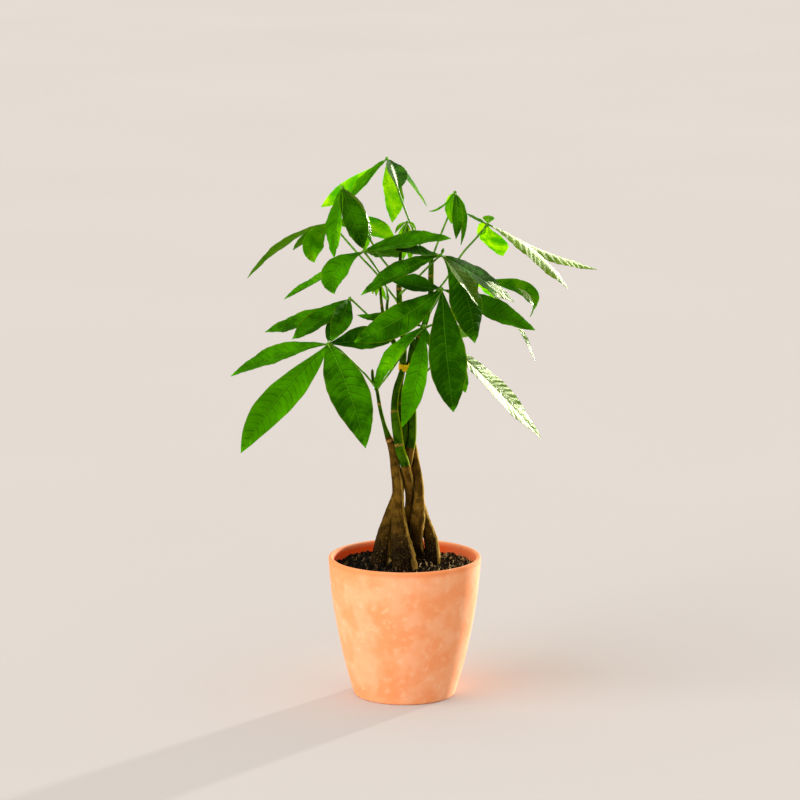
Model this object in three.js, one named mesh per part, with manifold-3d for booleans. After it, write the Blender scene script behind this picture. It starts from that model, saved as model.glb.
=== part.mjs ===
// A potted money tree: five braided trunks, hand-shaped leaves, soil and a terracotta pot.
// Millimetres, +Z up. The origin is the centre of the pot's underside.
import * as THREE from "three";
import { mergeVertices } from "three/addons/utils/BufferGeometryUtils.js";
import Module from "manifold-3d";

const wasm = await Module();
wasm.setup();

// Driving dimensions of the pot and soil
const rimRadius = 75;
const footRadius = 50.4;
const potHeight = 138.5;
const bulgeRadius = 70.3;
const bulgeHeight = 66;
const footRounding = 2;
const rimRounding = 2.2;
const wallThickness = 4.6;
const floorThickness = 8;
const potWallSteps = 6;
const potSides = 40;
const lipInset = 0.9;
const lipDrop = 0.8;
const floorFillet = 1.5;
const soilEdgeHeight = 128;
const soilMound = 4.5;
const soilGap = 0.7;
const soilSkirt = 0.6;
// The mound's outline: share of the soil's radius, share of the mound's height.
const moundOutline = [[0.75, 0.35], [0.4, 0.9], [0, 1]];

// Driving dimensions of the plant
const bladeThickness = 0.8;
const bladeStep = 15;
const fewestBladeSteps = 4;
const mostBladeSteps = 7;
const bladeFold = 0.22;
const bladeFullness = 0.9;
const bladeEndHalfWidth = 0.6;
const bladeRoot = 1.2;
const stalkRadius = 1.15;
const youngStalkRadius = 0.9;
const stalkSides = 5;
const extraStalkSteps = 2;
const strandSides = 8;
const knuckleRadius = 1.9;
const youngKnuckleRadius = 1.5;
const tieRadius = 6.6;
const tieThickness = 1.5;
const tieHeight = 8.6;
const tieCoils = 4;
const tieSides = 20;
const clearance = 0.3;
const largestScrap = 20;
const weldDistance = 0.001;

// The plant is laid out as seen from in front and a little above, in a view 800 units wide.
// A place is [across, down, depth]: where it is seen, and how far it lies behind the pot's axis.
const viewCentre = 400;
const viewLens = 3500;
const viewDistance = 3412;
const viewPitch = THREE.MathUtils.degToRad(10.7);
const viewTarget = new THREE.Vector3(-4.6, 0, 294);
const viewAhead = new THREE.Vector3(0, Math.cos(viewPitch), -Math.sin(viewPitch));
const viewUp = new THREE.Vector3(0, Math.sin(viewPitch), Math.cos(viewPitch));
const viewEye = viewTarget.clone().addScaledVector(viewAhead, -viewDistance);

function place([across, down, depth]) {
  const ray = viewAhead.clone().multiplyScalar(viewLens);
  ray.x += across - viewCentre;
  ray.addScaledVector(viewUp, viewCentre - down);
  return viewEye.clone().addScaledVector(ray, (depth - viewEye.y) / ray.y);
}

// Solids: every piece is made as one closed body before it becomes a mesh.
function solidOf(geometry) {
  const bare = geometry.index ? geometry.clone() : geometry;
  bare.deleteAttribute("normal");
  bare.deleteAttribute("uv");
  const merged = mergeVertices(bare, weldDistance);
  return new wasm.Manifold(
    new wasm.Mesh({
      numProp: 3,
      vertProperties: merged.attributes.position.array,
      triVerts: new Uint32Array(merged.index.array),
    }),
  );
}

function geometryOf(solid) {
  const mesh = solid.getMesh();
  const geometry = new THREE.BufferGeometry();
  geometry.setAttribute("position", new THREE.BufferAttribute(mesh.vertProperties, 3));
  geometry.setIndex(new THREE.BufferAttribute(mesh.triVerts, 1));
  geometry.computeVertexNormals();
  return geometry;
}

// What stays in one piece after a cut, without loose scraps.
function largestBody(solid) {
  const bodies = solid.decompose().sort((a, b) => b.volume() - a.volume());
  for (const scrap of bodies.slice(1)) {
    if (scrap.volume() > largestScrap) throw new Error("a piece came apart");
  }
  return bodies[0];
}

// A closed skin over rings of points, each ring with the same number of points.
// Sides listed in turned are split along their other diagonal, and cap lists the end's triangles.
function skin(rings, cap, turned = []) {
  const count = rings[0].length;
  const positions = rings.flat().flatMap((p) => [p.x, p.y, p.z]);
  const index = [];
  for (let ring = 0; ring < rings.length - 1; ring += 1) {
    for (let side = 0; side < count; side += 1) {
      const a = ring * count + side;
      const b = ring * count + ((side + 1) % count);
      if (turned.includes(side)) index.push(a, b, a + count, b, b + count, a + count);
      else index.push(a, b, b + count, a, b + count, a + count);
    }
  }
  const last = (rings.length - 1) * count;
  for (const [a, b, c] of cap) index.push(a, c, b, last + a, last + b, last + c);
  const geometry = new THREE.BufferGeometry();
  geometry.setAttribute("position", new THREE.Float32BufferAttribute(positions, 3));
  geometry.setIndex(index);
  return geometry;
}

// A tube whose radius changes along it. Stations are [across, down, depth, radius].
function taperedTube(stations, sides, steps, swell = 0) {
  const curve = new THREE.CatmullRomCurve3(stations.map(place), false, "centripetal");
  const radii = new THREE.SplineCurve(stations.map((s, i) => new THREE.Vector2(i, s[3])));
  const frames = curve.computeFrenetFrames(steps, false);
  const rings = [];
  for (let step = 0; step <= steps; step += 1) {
    const along = step / steps;
    const t = curve.getUtoTmapping(along);
    const centre = curve.getPoint(t);
    const radius = radii.getPoint(t).y + swell;
    const ring = [];
    for (let side = 0; side < sides; side += 1) {
      const angle = (2 * Math.PI * side) / sides;
      ring.push(
        centre
          .clone()
          .addScaledVector(frames.normals[step], radius * Math.cos(angle))
          .addScaledVector(frames.binormals[step], radius * Math.sin(angle)),
      );
    }
    rings.push(ring);
  }
  const cap = rings[0].slice(2).map((_, i) => [0, i + 1, i + 2]);
  return solidOf(skin(rings, cap));
}

// A blade's section runs left edge, rib, right edge, then back below them.
const bladeCap = [[0, 1, 4], [0, 4, 5], [1, 2, 3], [1, 3, 4]];
const bladeUnderside = [3, 4];

// One leaflet: a thin folded blade along an arched midrib, widest at its belly.
// Turn is how far its upper face is rolled about the midrib, from facing the viewer.
// Lean moves the belly of one half towards the tip and that of the other towards the hub.
// Fold lifts both edges towards the upper face, and below 0 it lets them droop.
function halfWidth(along, width, belly) {
  const power = Math.log(0.5) / Math.log(belly);
  const swelling = Math.sin(Math.PI * along ** power) ** bladeFullness;
  return Math.max((width / 2) * swelling, bladeEndHalfWidth);
}

function leaflet(hub, { tip, middle, width, turn, belly = 0.56, lean = 0, fold = bladeFold }) {
  const start = place(hub);
  const end = place(tip);
  const through = place(middle);
  const halfway = start.clone().add(end).divideScalar(2);
  const bend = through.clone().multiplyScalar(2).sub(halfway);
  const midrib = new THREE.QuadraticBezierCurve3(start, bend, end);
  const chord = end.clone().sub(start).normalize();
  const across = viewAhead.clone().cross(chord).normalize();
  across.applyAxisAngle(chord, THREE.MathUtils.degToRad(turn));
  const wanted = Math.round(midrib.getLength() / bladeStep);
  const steps = THREE.MathUtils.clamp(wanted, fewestBladeSteps, mostBladeSteps);
  const root = bladeRoot / (2 * bend.distanceTo(start));
  const rings = [];
  for (let step = 0; step <= steps; step += 1) {
    const along = root + (1 - root) * (step / steps);
    const tangent = midrib.getTangent(along);
    const side = across.clone().addScaledVector(tangent, -across.dot(tangent)).normalize();
    const upper = side.clone().cross(tangent).normalize();
    const rib = midrib.getPoint(along);
    const edge = (way) => {
      const half = halfWidth(along, width, belly + way * lean);
      return rib.clone().addScaledVector(side, way * half).addScaledVector(upper, fold * half);
    };
    const left = edge(-1);
    const right = edge(1);
    const below = (point) => point.clone().addScaledVector(upper, -bladeThickness);
    rings.push([left, rib, right, below(right), below(rib), below(left)]);
  }
  return solidOf(skin(rings, bladeCap, bladeUnderside));
}

// The five trunk strands, each with the green stems that it ends in.
const leftStrand = [
  [380, 590, -4, 11],
  [381, 562, -4, 10],
  [384, 540, -1, 8.4],
  [389.5, 520, 2, 7.3],
  [396, 500, 7, 6],
  [401.5, 480, 8, 5.1],
  [406.5, 466, 4, 4.6],
  [410.4, 450, 1, 4],
  [412.3, 438, 0.6, 3.9],
  [412.4, 405, 0, 3.6],
  [411, 385, -1, 3.2],
  [409.8, 366, -1.5, 2.6],
  [416, 345, 2, 2.8],
  [426, 320, 6, 2.9],
  [430.6, 296, 8, 2.7],
  [431, 275, 8, 2.6],
  [431.5, 256, 8, 2.2],
];
const frontStrand = [
  [406, 595, -24, 14],
  [405, 567, -22, 13.2],
  [402.5, 550, -18, 11.4],
  [400.6, 538, -14, 9.5],
  [399, 525, -11.5, 8],
  [398, 508, -9.5, 6.7],
  [398, 490, -7, 5.7],
  [395.7, 470, -3, 4.9],
  [393.6, 455, 0, 4.2],
  [391.5, 445, 0.5, 3.9],
  [388.4, 437, 0, 3.2],
  [384.6, 426, -1, 2.1],
  [380, 408, -2, 1.8],
  [376.6, 389, -2, 1.6],
  [373, 379, -2, 1.6],
  [372.3, 369, -2, 1.3],
];
const centreStrand = [
  [400, 580, 26, 9.5],
  [402, 555, 24, 9],
  [404.5, 540, 19, 8],
  [408, 520, 13, 6.4],
  [409.6, 505, 5, 5.3],
  [409.2, 490, 1, 4.8],
  [408, 480, -2, 4.8],
  [406.3, 470, -5, 4.7],
  [403.8, 460, -7, 4.6],
  [400.3, 450, -8, 4.7],
  [397.2, 430, -6, 4.7],
  [394.5, 410, -5, 3.6],
  [396.5, 390, -4.5, 3.3],
  [400.8, 376, -3.8, 3],
  [403.3, 366, -2.5, 2.5],
  [404, 345, -2, 2.8],
  [401, 320, -2, 2.8],
  [399.4, 300, -2, 2.7],
  [399, 285, -1, 2.5],
  [400, 265, 1, 1.8],
  [401, 248, 3, 1.5],
];
const innerStrand = [
  [419, 582, 14, 9],
  [418, 557, 13, 8.4],
  [416.4, 540, 5, 6.6],
  [417, 528, -1, 7],
  [418, 516, -4, 7.2],
  [419, 500, -4, 5.6],
  [419.3, 488, -3, 4.7],
  [417.8, 476, 2, 4.5],
  [416.3, 466, 6, 4],
  [414.6, 454, 9, 3.5],
  [412.5, 440, 9, 3],
  [410.5, 415, 8, 2.8],
  [408.5, 390, 7, 2.6],
  [408.6, 366, 4, 2.1],
  [411, 350, 9, 2.2],
  [414, 338, 11, 2],
];
const rightStrand = [
  [434, 586, 4, 8.6],
  [432.8, 560, 3, 8.2],
  [430.9, 540, 10, 6.9],
  [427.6, 530, 10.5, 6.4],
  [424, 520, 11, 6],
  [420, 506, 13, 5.8],
  [416.5, 492, 14.5, 5],
  [413, 480, 15, 4.4],
  [408.2, 466, 14, 4],
  [405.6, 454, 10, 3.7],
  [404.3, 440, 5, 3.7],
  [403.9, 426, 3, 3.8],
  [401, 405, 2.5, 3.2],
  [400, 385, 3, 2.9],
  [403, 366, 3.4, 2.3],
  [398, 352, 4, 2.6],
  [391, 336, 3, 2.3],
  [384, 318, 1, 1.9],
  [381.2, 300, 0, 1.4],
  [380, 283, 0, 1.2],
];
const rightStrandFork = [
  [391, 336, 3, 1.9],
  [387.5, 320, -1, 1.6],
  [387, 308, -3, 1.4],
  [388, 297, -5, 1.3],
];
const tiePlace = [406.3, 366.5, 0.7];
const strandSteps = 26;
const forkSteps = 8;

function strandSolids(swell) {
  const tube = (stations, steps = strandSteps) => taperedTube(stations, strandSides, steps, swell);
  return {
    strand_left: tube(leftStrand),
    strand_front: tube(frontStrand),
    strand_centre: tube(centreStrand),
    strand_inner: tube(innerStrand),
    strand_right: tube(rightStrand).add(tube(rightStrandFork, forkSteps)),
  };
}
const strands = strandSolids(0);
const strandHoles = strandSolids(clearance);

// The leaves. Each stalk runs from its hub down to the stem that it grows from.
const leaves = {
  leaf_top: {
    stem: "strand_left",
    hub: [387, 158.5, 30],
    stalk: [[389.5, 162, 28], [398, 190, 22], [409, 220, 15], [418, 241, 10], [429, 262, 8]],
    leaflets: [
      { tip: [321, 207, 62], middle: [354.5, 185, 50], width: 17.5, turn: 170, belly: 0.62 },
      { tip: [347, 204, 14], middle: [368, 178, 20], width: 20.5, turn: 62 },
      { tip: [392, 222.5, 62], middle: [391.5, 189.5, 50], width: 25.5, turn: -140 },
      { tip: [398.5, 189.5, -55], middle: [396, 171, -12], width: 19.5, turn: -15 },
      { tip: [427, 206, 70], middle: [406.5, 178.5, 55], width: 15, turn: -72 },
    ],
  },
  leaf_upper_left: {
    stem: "strand_centre",
    hub: [342, 187, -10],
    stalk: [[346, 193, -10], [366, 232, -14], [380, 256, -15], [389, 268, -11], [398, 284, -2]],
    leaflets: [
      { tip: [334, 258, -45], middle: [336.5, 219.5, -38], width: 23.5, turn: 50 },
      { tip: [364, 249, -34], middle: [352, 216, -36], width: 28, turn: -36 },
      { tip: [371.5, 239, 3], middle: [360, 211, -2], width: 18.5, turn: -70 },
      { tip: [365, 251, 20], middle: [359.5, 219.5, 14], width: 19.5, turn: -150 },
    ],
  },
  leaf_far_left: {
    stem: "strand_centre",
    hub: [331, 222.5, 25],
    stalk: [[334, 226, 24], [345, 239, 20], [360, 256, 14], [376, 273, 6], [388, 289, 0], [398, 302, -2]],
    leaflets: [
      { tip: [247.5, 278, 10], middle: [287, 242.5, 22], width: 16, turn: 62 },
      { tip: [293, 250, 60], middle: [310.5, 235.5, 48], width: 12.5, turn: 125 },
      { tip: [314.5, 262.5, 0], middle: [313.5, 242, 5], width: 21, turn: -12 },
      { tip: [396, 240, 60], middle: [365, 226.5, 50], width: 26.5, turn: -130 },
    ],
  },
  leaf_middle_left: {
    stem: "strand_right",
    hub: [364, 251, -20],
    stalk: [[366, 254, -19], [372, 262, -16], [379, 272, -12], [386, 286, -8], [388, 299, -5]],
    leaflets: [
      { tip: [334.5, 294, -45], middle: [337, 270.5, -36], width: 27, turn: 28 },
      { tip: [399, 257, 25], middle: [383.5, 253.5, 6], width: 24, turn: -118 },
      { tip: [451, 238.5, -60], middle: [407, 243, -40], width: 34, turn: -62, belly: 0.46 },
      { tip: [284, 299, 10], middle: [321.5, 278.5, 4], width: 27.5, turn: 74 },
    ],
  },
  leaf_centre_upper: {
    stem: "strand_centre",
    hub: [441, 255, -50],
    stalk: [[438.5, 257, -48], [431, 264, -38], [420, 275, -24], [410, 285, -12], [400, 294, -3]],
    leaflets: [
      { tip: [394, 249, -45], middle: [418.5, 253, -50], width: 23.5, turn: 66 },
      { tip: [361, 295, -65], middle: [404.5, 270, -62], width: 28.5, turn: 55 },
      { tip: [475, 343, -75], middle: [464.5, 290, -80], width: 35, turn: -30, belly: 0.64, fold: -0.28 },
      { tip: [478.5, 306, -92], middle: [461.5, 278.5, -80], width: 23.5, turn: -58 },
      { tip: [514, 302, -30], middle: [476, 275, -42], width: 29, turn: -58 },
      { tip: [443.5, 248, -46], middle: [442.5, 251.5, -49], width: 3, turn: 0 },
    ],
  },
  leaf_centre_lower: {
    stem: "strand_left",
    hub: [442, 289, -45],
    stalk: [[441, 292, -43], [438, 299, -30], [434, 306, -10], [430, 312, 6]],
    leaflets: [
      { tip: [390, 279, -36], middle: [417, 286, -42], width: 28.5, turn: 55 },
      { tip: [354, 342, -60], middle: [403, 317, -60], width: 31.5, turn: 20, fold: -0.12 },
      { tip: [453.5, 412, -65], middle: [446.5, 352, -72], width: 36.5, turn: -8 },
      { tip: [535, 330, -20], middle: [488.5, 309, -34], width: 28, turn: -43 },
    ],
  },
  leaf_lower_left: {
    stem: "strand_front",
    hub: [328, 344, -40],
    stalk: [[331, 345, -39], [340, 350, -34], [352, 361, -22], [364, 373, -10], [376.5, 388, -2]],
    leaflets: [
      { tip: [231, 376, -35], middle: [282, 354, -42], width: 26.5, turn: 52 },
      { tip: [241, 453, -80], middle: [283.5, 391.5, -68], width: 33, turn: -15, belly: 0.57, lean: 0.1 },
      { tip: [365.5, 448, -70], middle: [349, 391, -66], width: 39, turn: 5, belly: 0.5, lean: -0.04 },
      { tip: [397, 336, -20], middle: [363.5, 340, -30], width: 30, turn: -40 },
      { tip: [347, 329, -46], middle: [338, 335, -43], width: 9, turn: -60 },
    ],
  },
  leaf_left: {
    stem: "strand_right",
    hub: [350, 298.5, -10],
    stalk: [[352.5, 300.5, -9], [361, 308.5, -6], [371.5, 318.5, -3], [380, 327, 0], [391, 336, 3]],
    leaflets: [
      { tip: [265, 332, -5], middle: [308, 320, -8], width: 28, turn: 60, belly: 0.6 },
      { tip: [292, 339, -35], middle: [322.5, 319, -27], width: 29, turn: 50 },
      { tip: [330.5, 339, -66], middle: [342.5, 316.5, -44], width: 20, turn: -15 },
      { tip: [328, 341.5, -18], middle: [336, 323, -16], width: 16, turn: 25 },
    ],
  },
  leaf_low_centre: {
    stem: "strand_front",
    hub: [424, 326, -35],
    stalk: [[422, 329, -34], [411, 341, -28], [399, 359, -18], [388, 375, -8], [377.5, 388, -2]],
    leaflets: [
      { tip: [374.5, 390, -45], middle: [395, 354.5, -45], width: 22.5, turn: 50 },
      { tip: [402, 427, -50], middle: [417, 377.5, -52], width: 22.5, turn: 20 },
      { tip: [429, 346, -42], middle: [427, 336, -40], width: 6, turn: 0 },
      { tip: [426, 313, -30], middle: [425.5, 319, -33], width: 5, turn: 0 },
      { tip: [357, 315, -32], middle: [391.5, 322, -38], width: 21.5, turn: 60 },
    ],
  },
  leaf_low_right: {
    stem: "strand_inner",
    hub: [448, 343, 14],
    stalk: [[446, 347, 14], [438, 358, 13], [428, 370, 12], [418, 379, 10], [408, 386, 7]],
    leaflets: [
      { tip: [541, 438, 20], middle: [493.5, 386.5, 14], width: 34, turn: -50 },
      { tip: [465.5, 392.5, -5], middle: [458, 368, -2], width: 20, turn: 30 },
      { tip: [449, 402, 36], middle: [448, 372, 30], width: 20, turn: 0 },
      { tip: [471, 329, 84], middle: [463, 329, 50], width: 20, turn: 150 },
    ],
  },
  leaf_right: {
    stem: "strand_left",
    hub: [488, 224, 40],
    stalk: [[486, 226, 39], [478, 236, 36], [462, 254, 28], [445, 281, 16], [431, 297, 8]],
    leaflets: [
      { tip: [568, 288.5, 10], middle: [532, 250, 22], width: 26, turn: -66 },
      { tip: [597, 269, 60], middle: [543.5, 251, 55], width: 21.5, turn: -68 },
      { tip: [503, 256, 95], middle: [491.5, 241, 75], width: 29.5, turn: -135, belly: 0.62 },
      { tip: [477.5, 235, 72], middle: [481.5, 228.5, 58], width: 11, turn: -165 },
      { tip: [489, 216, 100], middle: [488.5, 217, 70], width: 12, turn: 170 },
      { tip: [466.5, 213, 60], middle: [476, 219.5, 52], width: 11.5, turn: 75 },
    ],
  },
  leaf_right_top: {
    stem: "strand_left",
    hub: [455, 192.5, 20],
    stalk: [[454.5, 196, 19], [449, 214, 15], [441, 234, 11], [432, 258, 8]],
    leaflets: [
      { tip: [451, 223, 0], middle: [450, 204.5, 4], width: 11, turn: 50 },
      { tip: [452, 224, 34], middle: [450, 205, 30], width: 12.5, turn: -145 },
      { tip: [456, 239, -10], middle: [457.5, 214, -8], width: 11, turn: -10 },
      { tip: [461, 229, 36], middle: [460, 208, 34], width: 12, turn: -140 },
      { tip: [461, 245, 12], middle: [463, 214.5, 12], width: 9, turn: -45 },
      { tip: [429, 211, 25], middle: [441.5, 207.5, 24], width: 6, turn: 70 },
    ],
  },
  leaf_right_back: {
    stem: "strand_left",
    hub: [479, 281, 30],
    stalk: [[476, 283, 29], [466, 291, 24], [452, 308, 16], [441, 320, 10], [425, 328, 5]],
    leaflets: [
      { tip: [493, 298, 60], middle: [486, 287.5, 48], width: 19.5, turn: -125 },
      { tip: [474, 292, 40], middle: [475, 286, 36], width: 7.5, turn: -155 },
      { tip: [497, 292, 42], middle: [488, 285.5, 38], width: 6.5, turn: -55 },
      { tip: [535.5, 362, 10], middle: [511.5, 318, 18], width: 12.5, turn: -70 },
      { tip: [530, 317, 50], middle: [526, 291.5, 50], width: 19.5, turn: -55 },
    ],
  },
  young_leaf_top: {
    young: true,
    stem: "strand_centre",
    hub: [407, 222, 8],
    stalk: [[406, 226, 8], [403, 238, 6], [401, 252, 3]],
    leaflets: [
      { tip: [395, 233, 4], middle: [400.5, 225.5, 5], width: 5, turn: 40 },
      { tip: [398, 257, 36], middle: [401, 238, 28], width: 10, turn: -150 },
      { tip: [403, 260, 28], middle: [404.5, 240, 20], width: 11, turn: -145 },
      { tip: [410, 260, 18], middle: [409, 241, 18], width: 13.5, turn: -140 },
      { tip: [416, 231, 10], middle: [412, 225, 10], width: 7, turn: -60 },
    ],
  },
  young_leaf_low: {
    young: true,
    stem: "strand_right",
    hub: [379.5, 280, 0],
    stalk: [[379.7, 282, 0], [380, 285, 0]],
    leaflets: [
      { tip: [372.5, 294, -6], middle: [375, 286.5, -5], width: 5, turn: 35 },
      { tip: [376, 296, -9], middle: [377.5, 287, -7], width: 5.5, turn: 30 },
      { tip: [386, 300, 4], middle: [382.5, 291, 2], width: 5.5, turn: 40 },
    ],
  },
};

function leafSolid({ hub, stalk, stem, leaflets, young }) {
  const radius = young ? youngStalkRadius : stalkRadius;
  const stations = [hub, ...stalk].map((point) => [...point, radius]);
  const knuckle = new THREE.IcosahedronGeometry(young ? youngKnuckleRadius : knuckleRadius, 0);
  const centre = place(hub);
  knuckle.translate(centre.x, centre.y, centre.z);
  let solid = taperedTube(stations, stalkSides, stalk.length + extraStalkSteps);
  solid = solid.add(solidOf(knuckle));
  for (const row of leaflets) solid = solid.add(leaflet(hub, row));
  return largestBody(solid.subtract(strandHoles[stem]));
}

// The pot: an open shell with a rounded rim and foot, turned about its axis.
function potSolid() {
  const point = (radius, height) => new THREE.Vector2(radius, height);
  const outer = new THREE.QuadraticBezierCurve(
    point(footRadius, footRounding),
    point(bulgeRadius, bulgeHeight),
    point(rimRadius, potHeight - rimRounding),
  ).getPoints(potWallSteps);
  const inner = outer
    .filter((p) => p.y > floorThickness)
    .map((p) => point(p.x - wallThickness, p.y))
    .reverse();
  const innerRim = rimRadius - wallThickness;
  const rim = [
    point(rimRadius - lipInset, potHeight - lipDrop),
    point(rimRadius - rimRounding, potHeight),
    point(innerRim + rimRounding, potHeight),
    point(innerRim + lipInset, potHeight - lipDrop),
  ];
  const profile = [
    point(0, 0),
    point(footRadius - footRounding, 0),
    ...outer,
    ...rim,
    ...inner,
    point(inner.at(-1).x - floorFillet, floorThickness),
    point(0, floorThickness),
  ];
  return { solid: turnedSolid(profile), inner };
}

// A closed body from a profile of [radius, height] points, turned about the upright axis.
function turnedSolid(profile, sides = potSides, centre = new THREE.Vector3()) {
  const turned = new THREE.LatheGeometry(profile, sides);
  turned.rotateX(Math.PI / 2);
  turned.translate(centre.x, centre.y, centre.z);
  return solidOf(turned);
}

function withStrandHoles(solid) {
  let pierced = solid;
  for (const hole of Object.values(strandHoles)) pierced = pierced.subtract(hole);
  return pierced;
}

// The soil fills the pot to a low mound, with a hole for each strand.
function soilSolid(inner) {
  const bottom = floorThickness + clearance;
  const wall = inner
    .filter((p) => p.y < soilEdgeHeight)
    .map((p) => new THREE.Vector2(p.x - soilGap, p.y))
    .reverse();
  const edge = wall.at(-1).x;
  const profile = [
    new THREE.Vector2(0, bottom),
    new THREE.Vector2(wall[0].x - floorFillet, bottom),
    ...wall,
    new THREE.Vector2(edge + soilSkirt, soilEdgeHeight),
  ];
  for (const [out, up] of moundOutline) {
    profile.push(new THREE.Vector2(edge * out, soilEdgeHeight + soilMound * up));
  }
  return withStrandHoles(turnedSolid(profile));
}

// The tie: a ribbed yellow band round the four stems that pass through it.
function tieSolid() {
  const ribs = 2 * tieCoils;
  const profile = [];
  for (let i = 0; i <= ribs; i += 1) {
    const out = i % 2 ? tieThickness : tieThickness / 2;
    profile.push(new THREE.Vector2(tieRadius + out, (i / ribs - 0.5) * tieHeight));
  }
  profile.push(new THREE.Vector2(tieRadius, tieHeight / 2));
  profile.push(new THREE.Vector2(tieRadius, -tieHeight / 2));
  profile.push(profile[0].clone());
  return largestBody(withStrandHoles(turnedSolid(profile, tieSides, place(tiePlace))));
}

function material(color, roughness, metalness = 0) {
  return new THREE.MeshStandardMaterial({ color, roughness, metalness });
}

const part = new THREE.Group();
part.name = "potted_money_tree";

function add(name, solid, look) {
  const mesh = new THREE.Mesh(geometryOf(solid), look);
  mesh.name = name;
  part.add(mesh);
}

const pot = potSolid();
add("pot", pot.solid, material("#e8995f", 0.85));
add("soil", soilSolid(pot.inner), material("#1c1712", 1));
for (const [name, solid] of Object.entries(strands)) add(name, solid, material("#5c4a26", 0.8));
add("tie", tieSolid(), material("#d8b400", 0.6));
for (const [name, leaf] of Object.entries(leaves)) {
  add(name, leafSolid(leaf), material(leaf.young ? "#8fd010" : "#2f7a08", 0.45));
}

export default part;
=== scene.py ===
# A potted money tree: five braided trunks, leaves, soil and a terracotta pot.
# Pieces are laid out in millimetres and become metres when their mesh is made.
import math
import random
from functools import partial

import bpy
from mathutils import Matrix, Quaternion, Vector, noise


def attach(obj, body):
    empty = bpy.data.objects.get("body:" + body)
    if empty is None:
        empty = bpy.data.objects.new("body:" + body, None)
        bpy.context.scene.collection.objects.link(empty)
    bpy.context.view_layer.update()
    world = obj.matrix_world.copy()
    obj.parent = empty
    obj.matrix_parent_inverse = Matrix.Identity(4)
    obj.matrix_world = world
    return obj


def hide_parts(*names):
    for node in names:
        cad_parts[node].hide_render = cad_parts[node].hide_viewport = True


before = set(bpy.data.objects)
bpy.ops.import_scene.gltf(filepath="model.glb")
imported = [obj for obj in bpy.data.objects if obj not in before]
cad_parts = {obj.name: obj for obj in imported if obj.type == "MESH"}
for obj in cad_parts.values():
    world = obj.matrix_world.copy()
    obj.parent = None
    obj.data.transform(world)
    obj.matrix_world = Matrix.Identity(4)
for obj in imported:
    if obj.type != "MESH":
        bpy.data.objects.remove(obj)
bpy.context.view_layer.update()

# The plant is laid out as seen from in front and a little above, in a view 800 units wide.
# A place is (across, down, depth): where it is seen, and how far behind the pot's axis it lies.
view = {
    "size": 800,
    "lens": 3500,
    "distance": 3412,
    "pitch": math.radians(10.7),
    "target": Vector((-4.6, 0, 294)),
    "sensor": 36,
}
viewAhead = Vector((0, math.cos(view["pitch"]), -math.sin(view["pitch"])))
viewUp = Vector((0, math.sin(view["pitch"]), math.cos(view["pitch"])))
viewEye = view["target"] - viewAhead * view["distance"]


def place(spot):
    across, down, depth = spot[:3]
    middle = view["size"] / 2
    ray = viewAhead * view["lens"] + viewUp * (middle - down) + Vector((across - middle, 0, 0))
    return viewEye + ray * ((depth - viewEye.y) / ray.y)


def clamped(value, low=0, high=1):
    return min(max(value, low), high)


# small helpers for meshes; marks are values that a material reads back from the points

def startSkin(*marks):
    return {"points": [], "faces": [], "slots": [], "marks": {mark: [] for mark in marks}}


def addPoint(skin, point, **marks):
    skin["points"].append(point)
    for mark, values in skin["marks"].items():
        values.append(marks.get(mark, (0, 0, 0)))
    return len(skin["points"]) - 1


def addFace(skin, corners, slot=0):
    skin["faces"].append(corners)
    skin["slots"].append(slot)


def onCircle(radius, angle, height=0.0):
    return Vector((radius * math.cos(angle), radius * math.sin(angle), height))


def around(ring):
    # each point of a ring with the one after it
    return zip(ring, ring[1:] + ring[:1])


def addBands(skin, rings, slot=0):
    for lower, upper in zip(rings, rings[1:]):
        for (a, b), (d, c) in zip(around(lower), around(upper)):
            addFace(skin, (a, b, c, d), slot)


def addEnds(skin, rings, first, last, slot=0):
    # a fan of triangles from the point at each end
    for (a, b), (c, d) in zip(around(rings[0]), around(rings[-1])):
        addFace(skin, (first, b, a), slot)
        addFace(skin, (last, c, d), slot)


def addTube(skin, centres, radiusAt, sides, marksAt=lambda i, angle: {}, slot=0):
    # rings round a line of centres, closed with a point at each end
    last = len(centres) - 1
    tangents = [(centres[min(i + 1, last)] - centres[max(i - 1, 0)]).normalized()
                for i in range(last + 1)]
    normal = tangents[0].orthogonal().normalized()
    rings = []
    for i, centre in enumerate(centres):
        if i:
            normal = tangents[i - 1].rotation_difference(tangents[i]) @ normal
        binormal = tangents[i].cross(normal)
        rings.append([])
        for side in range(sides):
            angle = math.tau * side / sides
            out = normal * math.cos(angle) + binormal * math.sin(angle)
            rings[-1].append(addPoint(skin, centre + out * radiusAt(i, angle), **marksAt(i, angle)))
    addBands(skin, rings, slot)
    ends = [addPoint(skin, centres[i], **marksAt(i, 0)) for i in (0, last)]
    addEnds(skin, rings, *ends, slot)


def addTurned(skin, profile, sides, wobble):
    # a closed body turned about the upright axis, from (radius, height) that starts and ends on it
    angles = [math.tau * side / sides for side in range(sides)]
    rings = [[addPoint(skin, wobble(onCircle(radius, angle, height))) for angle in angles]
             for radius, height in profile[1:-1]]
    addBands(skin, rings)
    ends = [addPoint(skin, wobble(Vector((0, 0, height)))) for _, height in (profile[0], profile[-1])]
    addEnds(skin, rings, *ends)


def lengthsAlong(line):
    lengths = [0.0]
    for before, after in zip(line, line[1:]):
        lengths.append(lengths[-1] + (after - before).length)
    return lengths


def meshFrom(name, skin, sharpFrom=math.radians(55)):
    mesh = bpy.data.meshes.new(name)
    mesh.from_pydata([point / 1000 for point in skin["points"]], [], skin["faces"])
    mesh.polygons.foreach_set("material_index", skin["slots"])
    mesh.polygons.foreach_set("use_smooth", [True] * len(mesh.polygons))
    for mark, values in skin["marks"].items():
        layer = mesh.attributes.new(mark, "FLOAT_VECTOR", "POINT")
        layer.data.foreach_set("vector", [number for value in values for number in value])
    mesh.set_sharp_from_angle(angle=sharpFrom)
    return mesh


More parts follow.
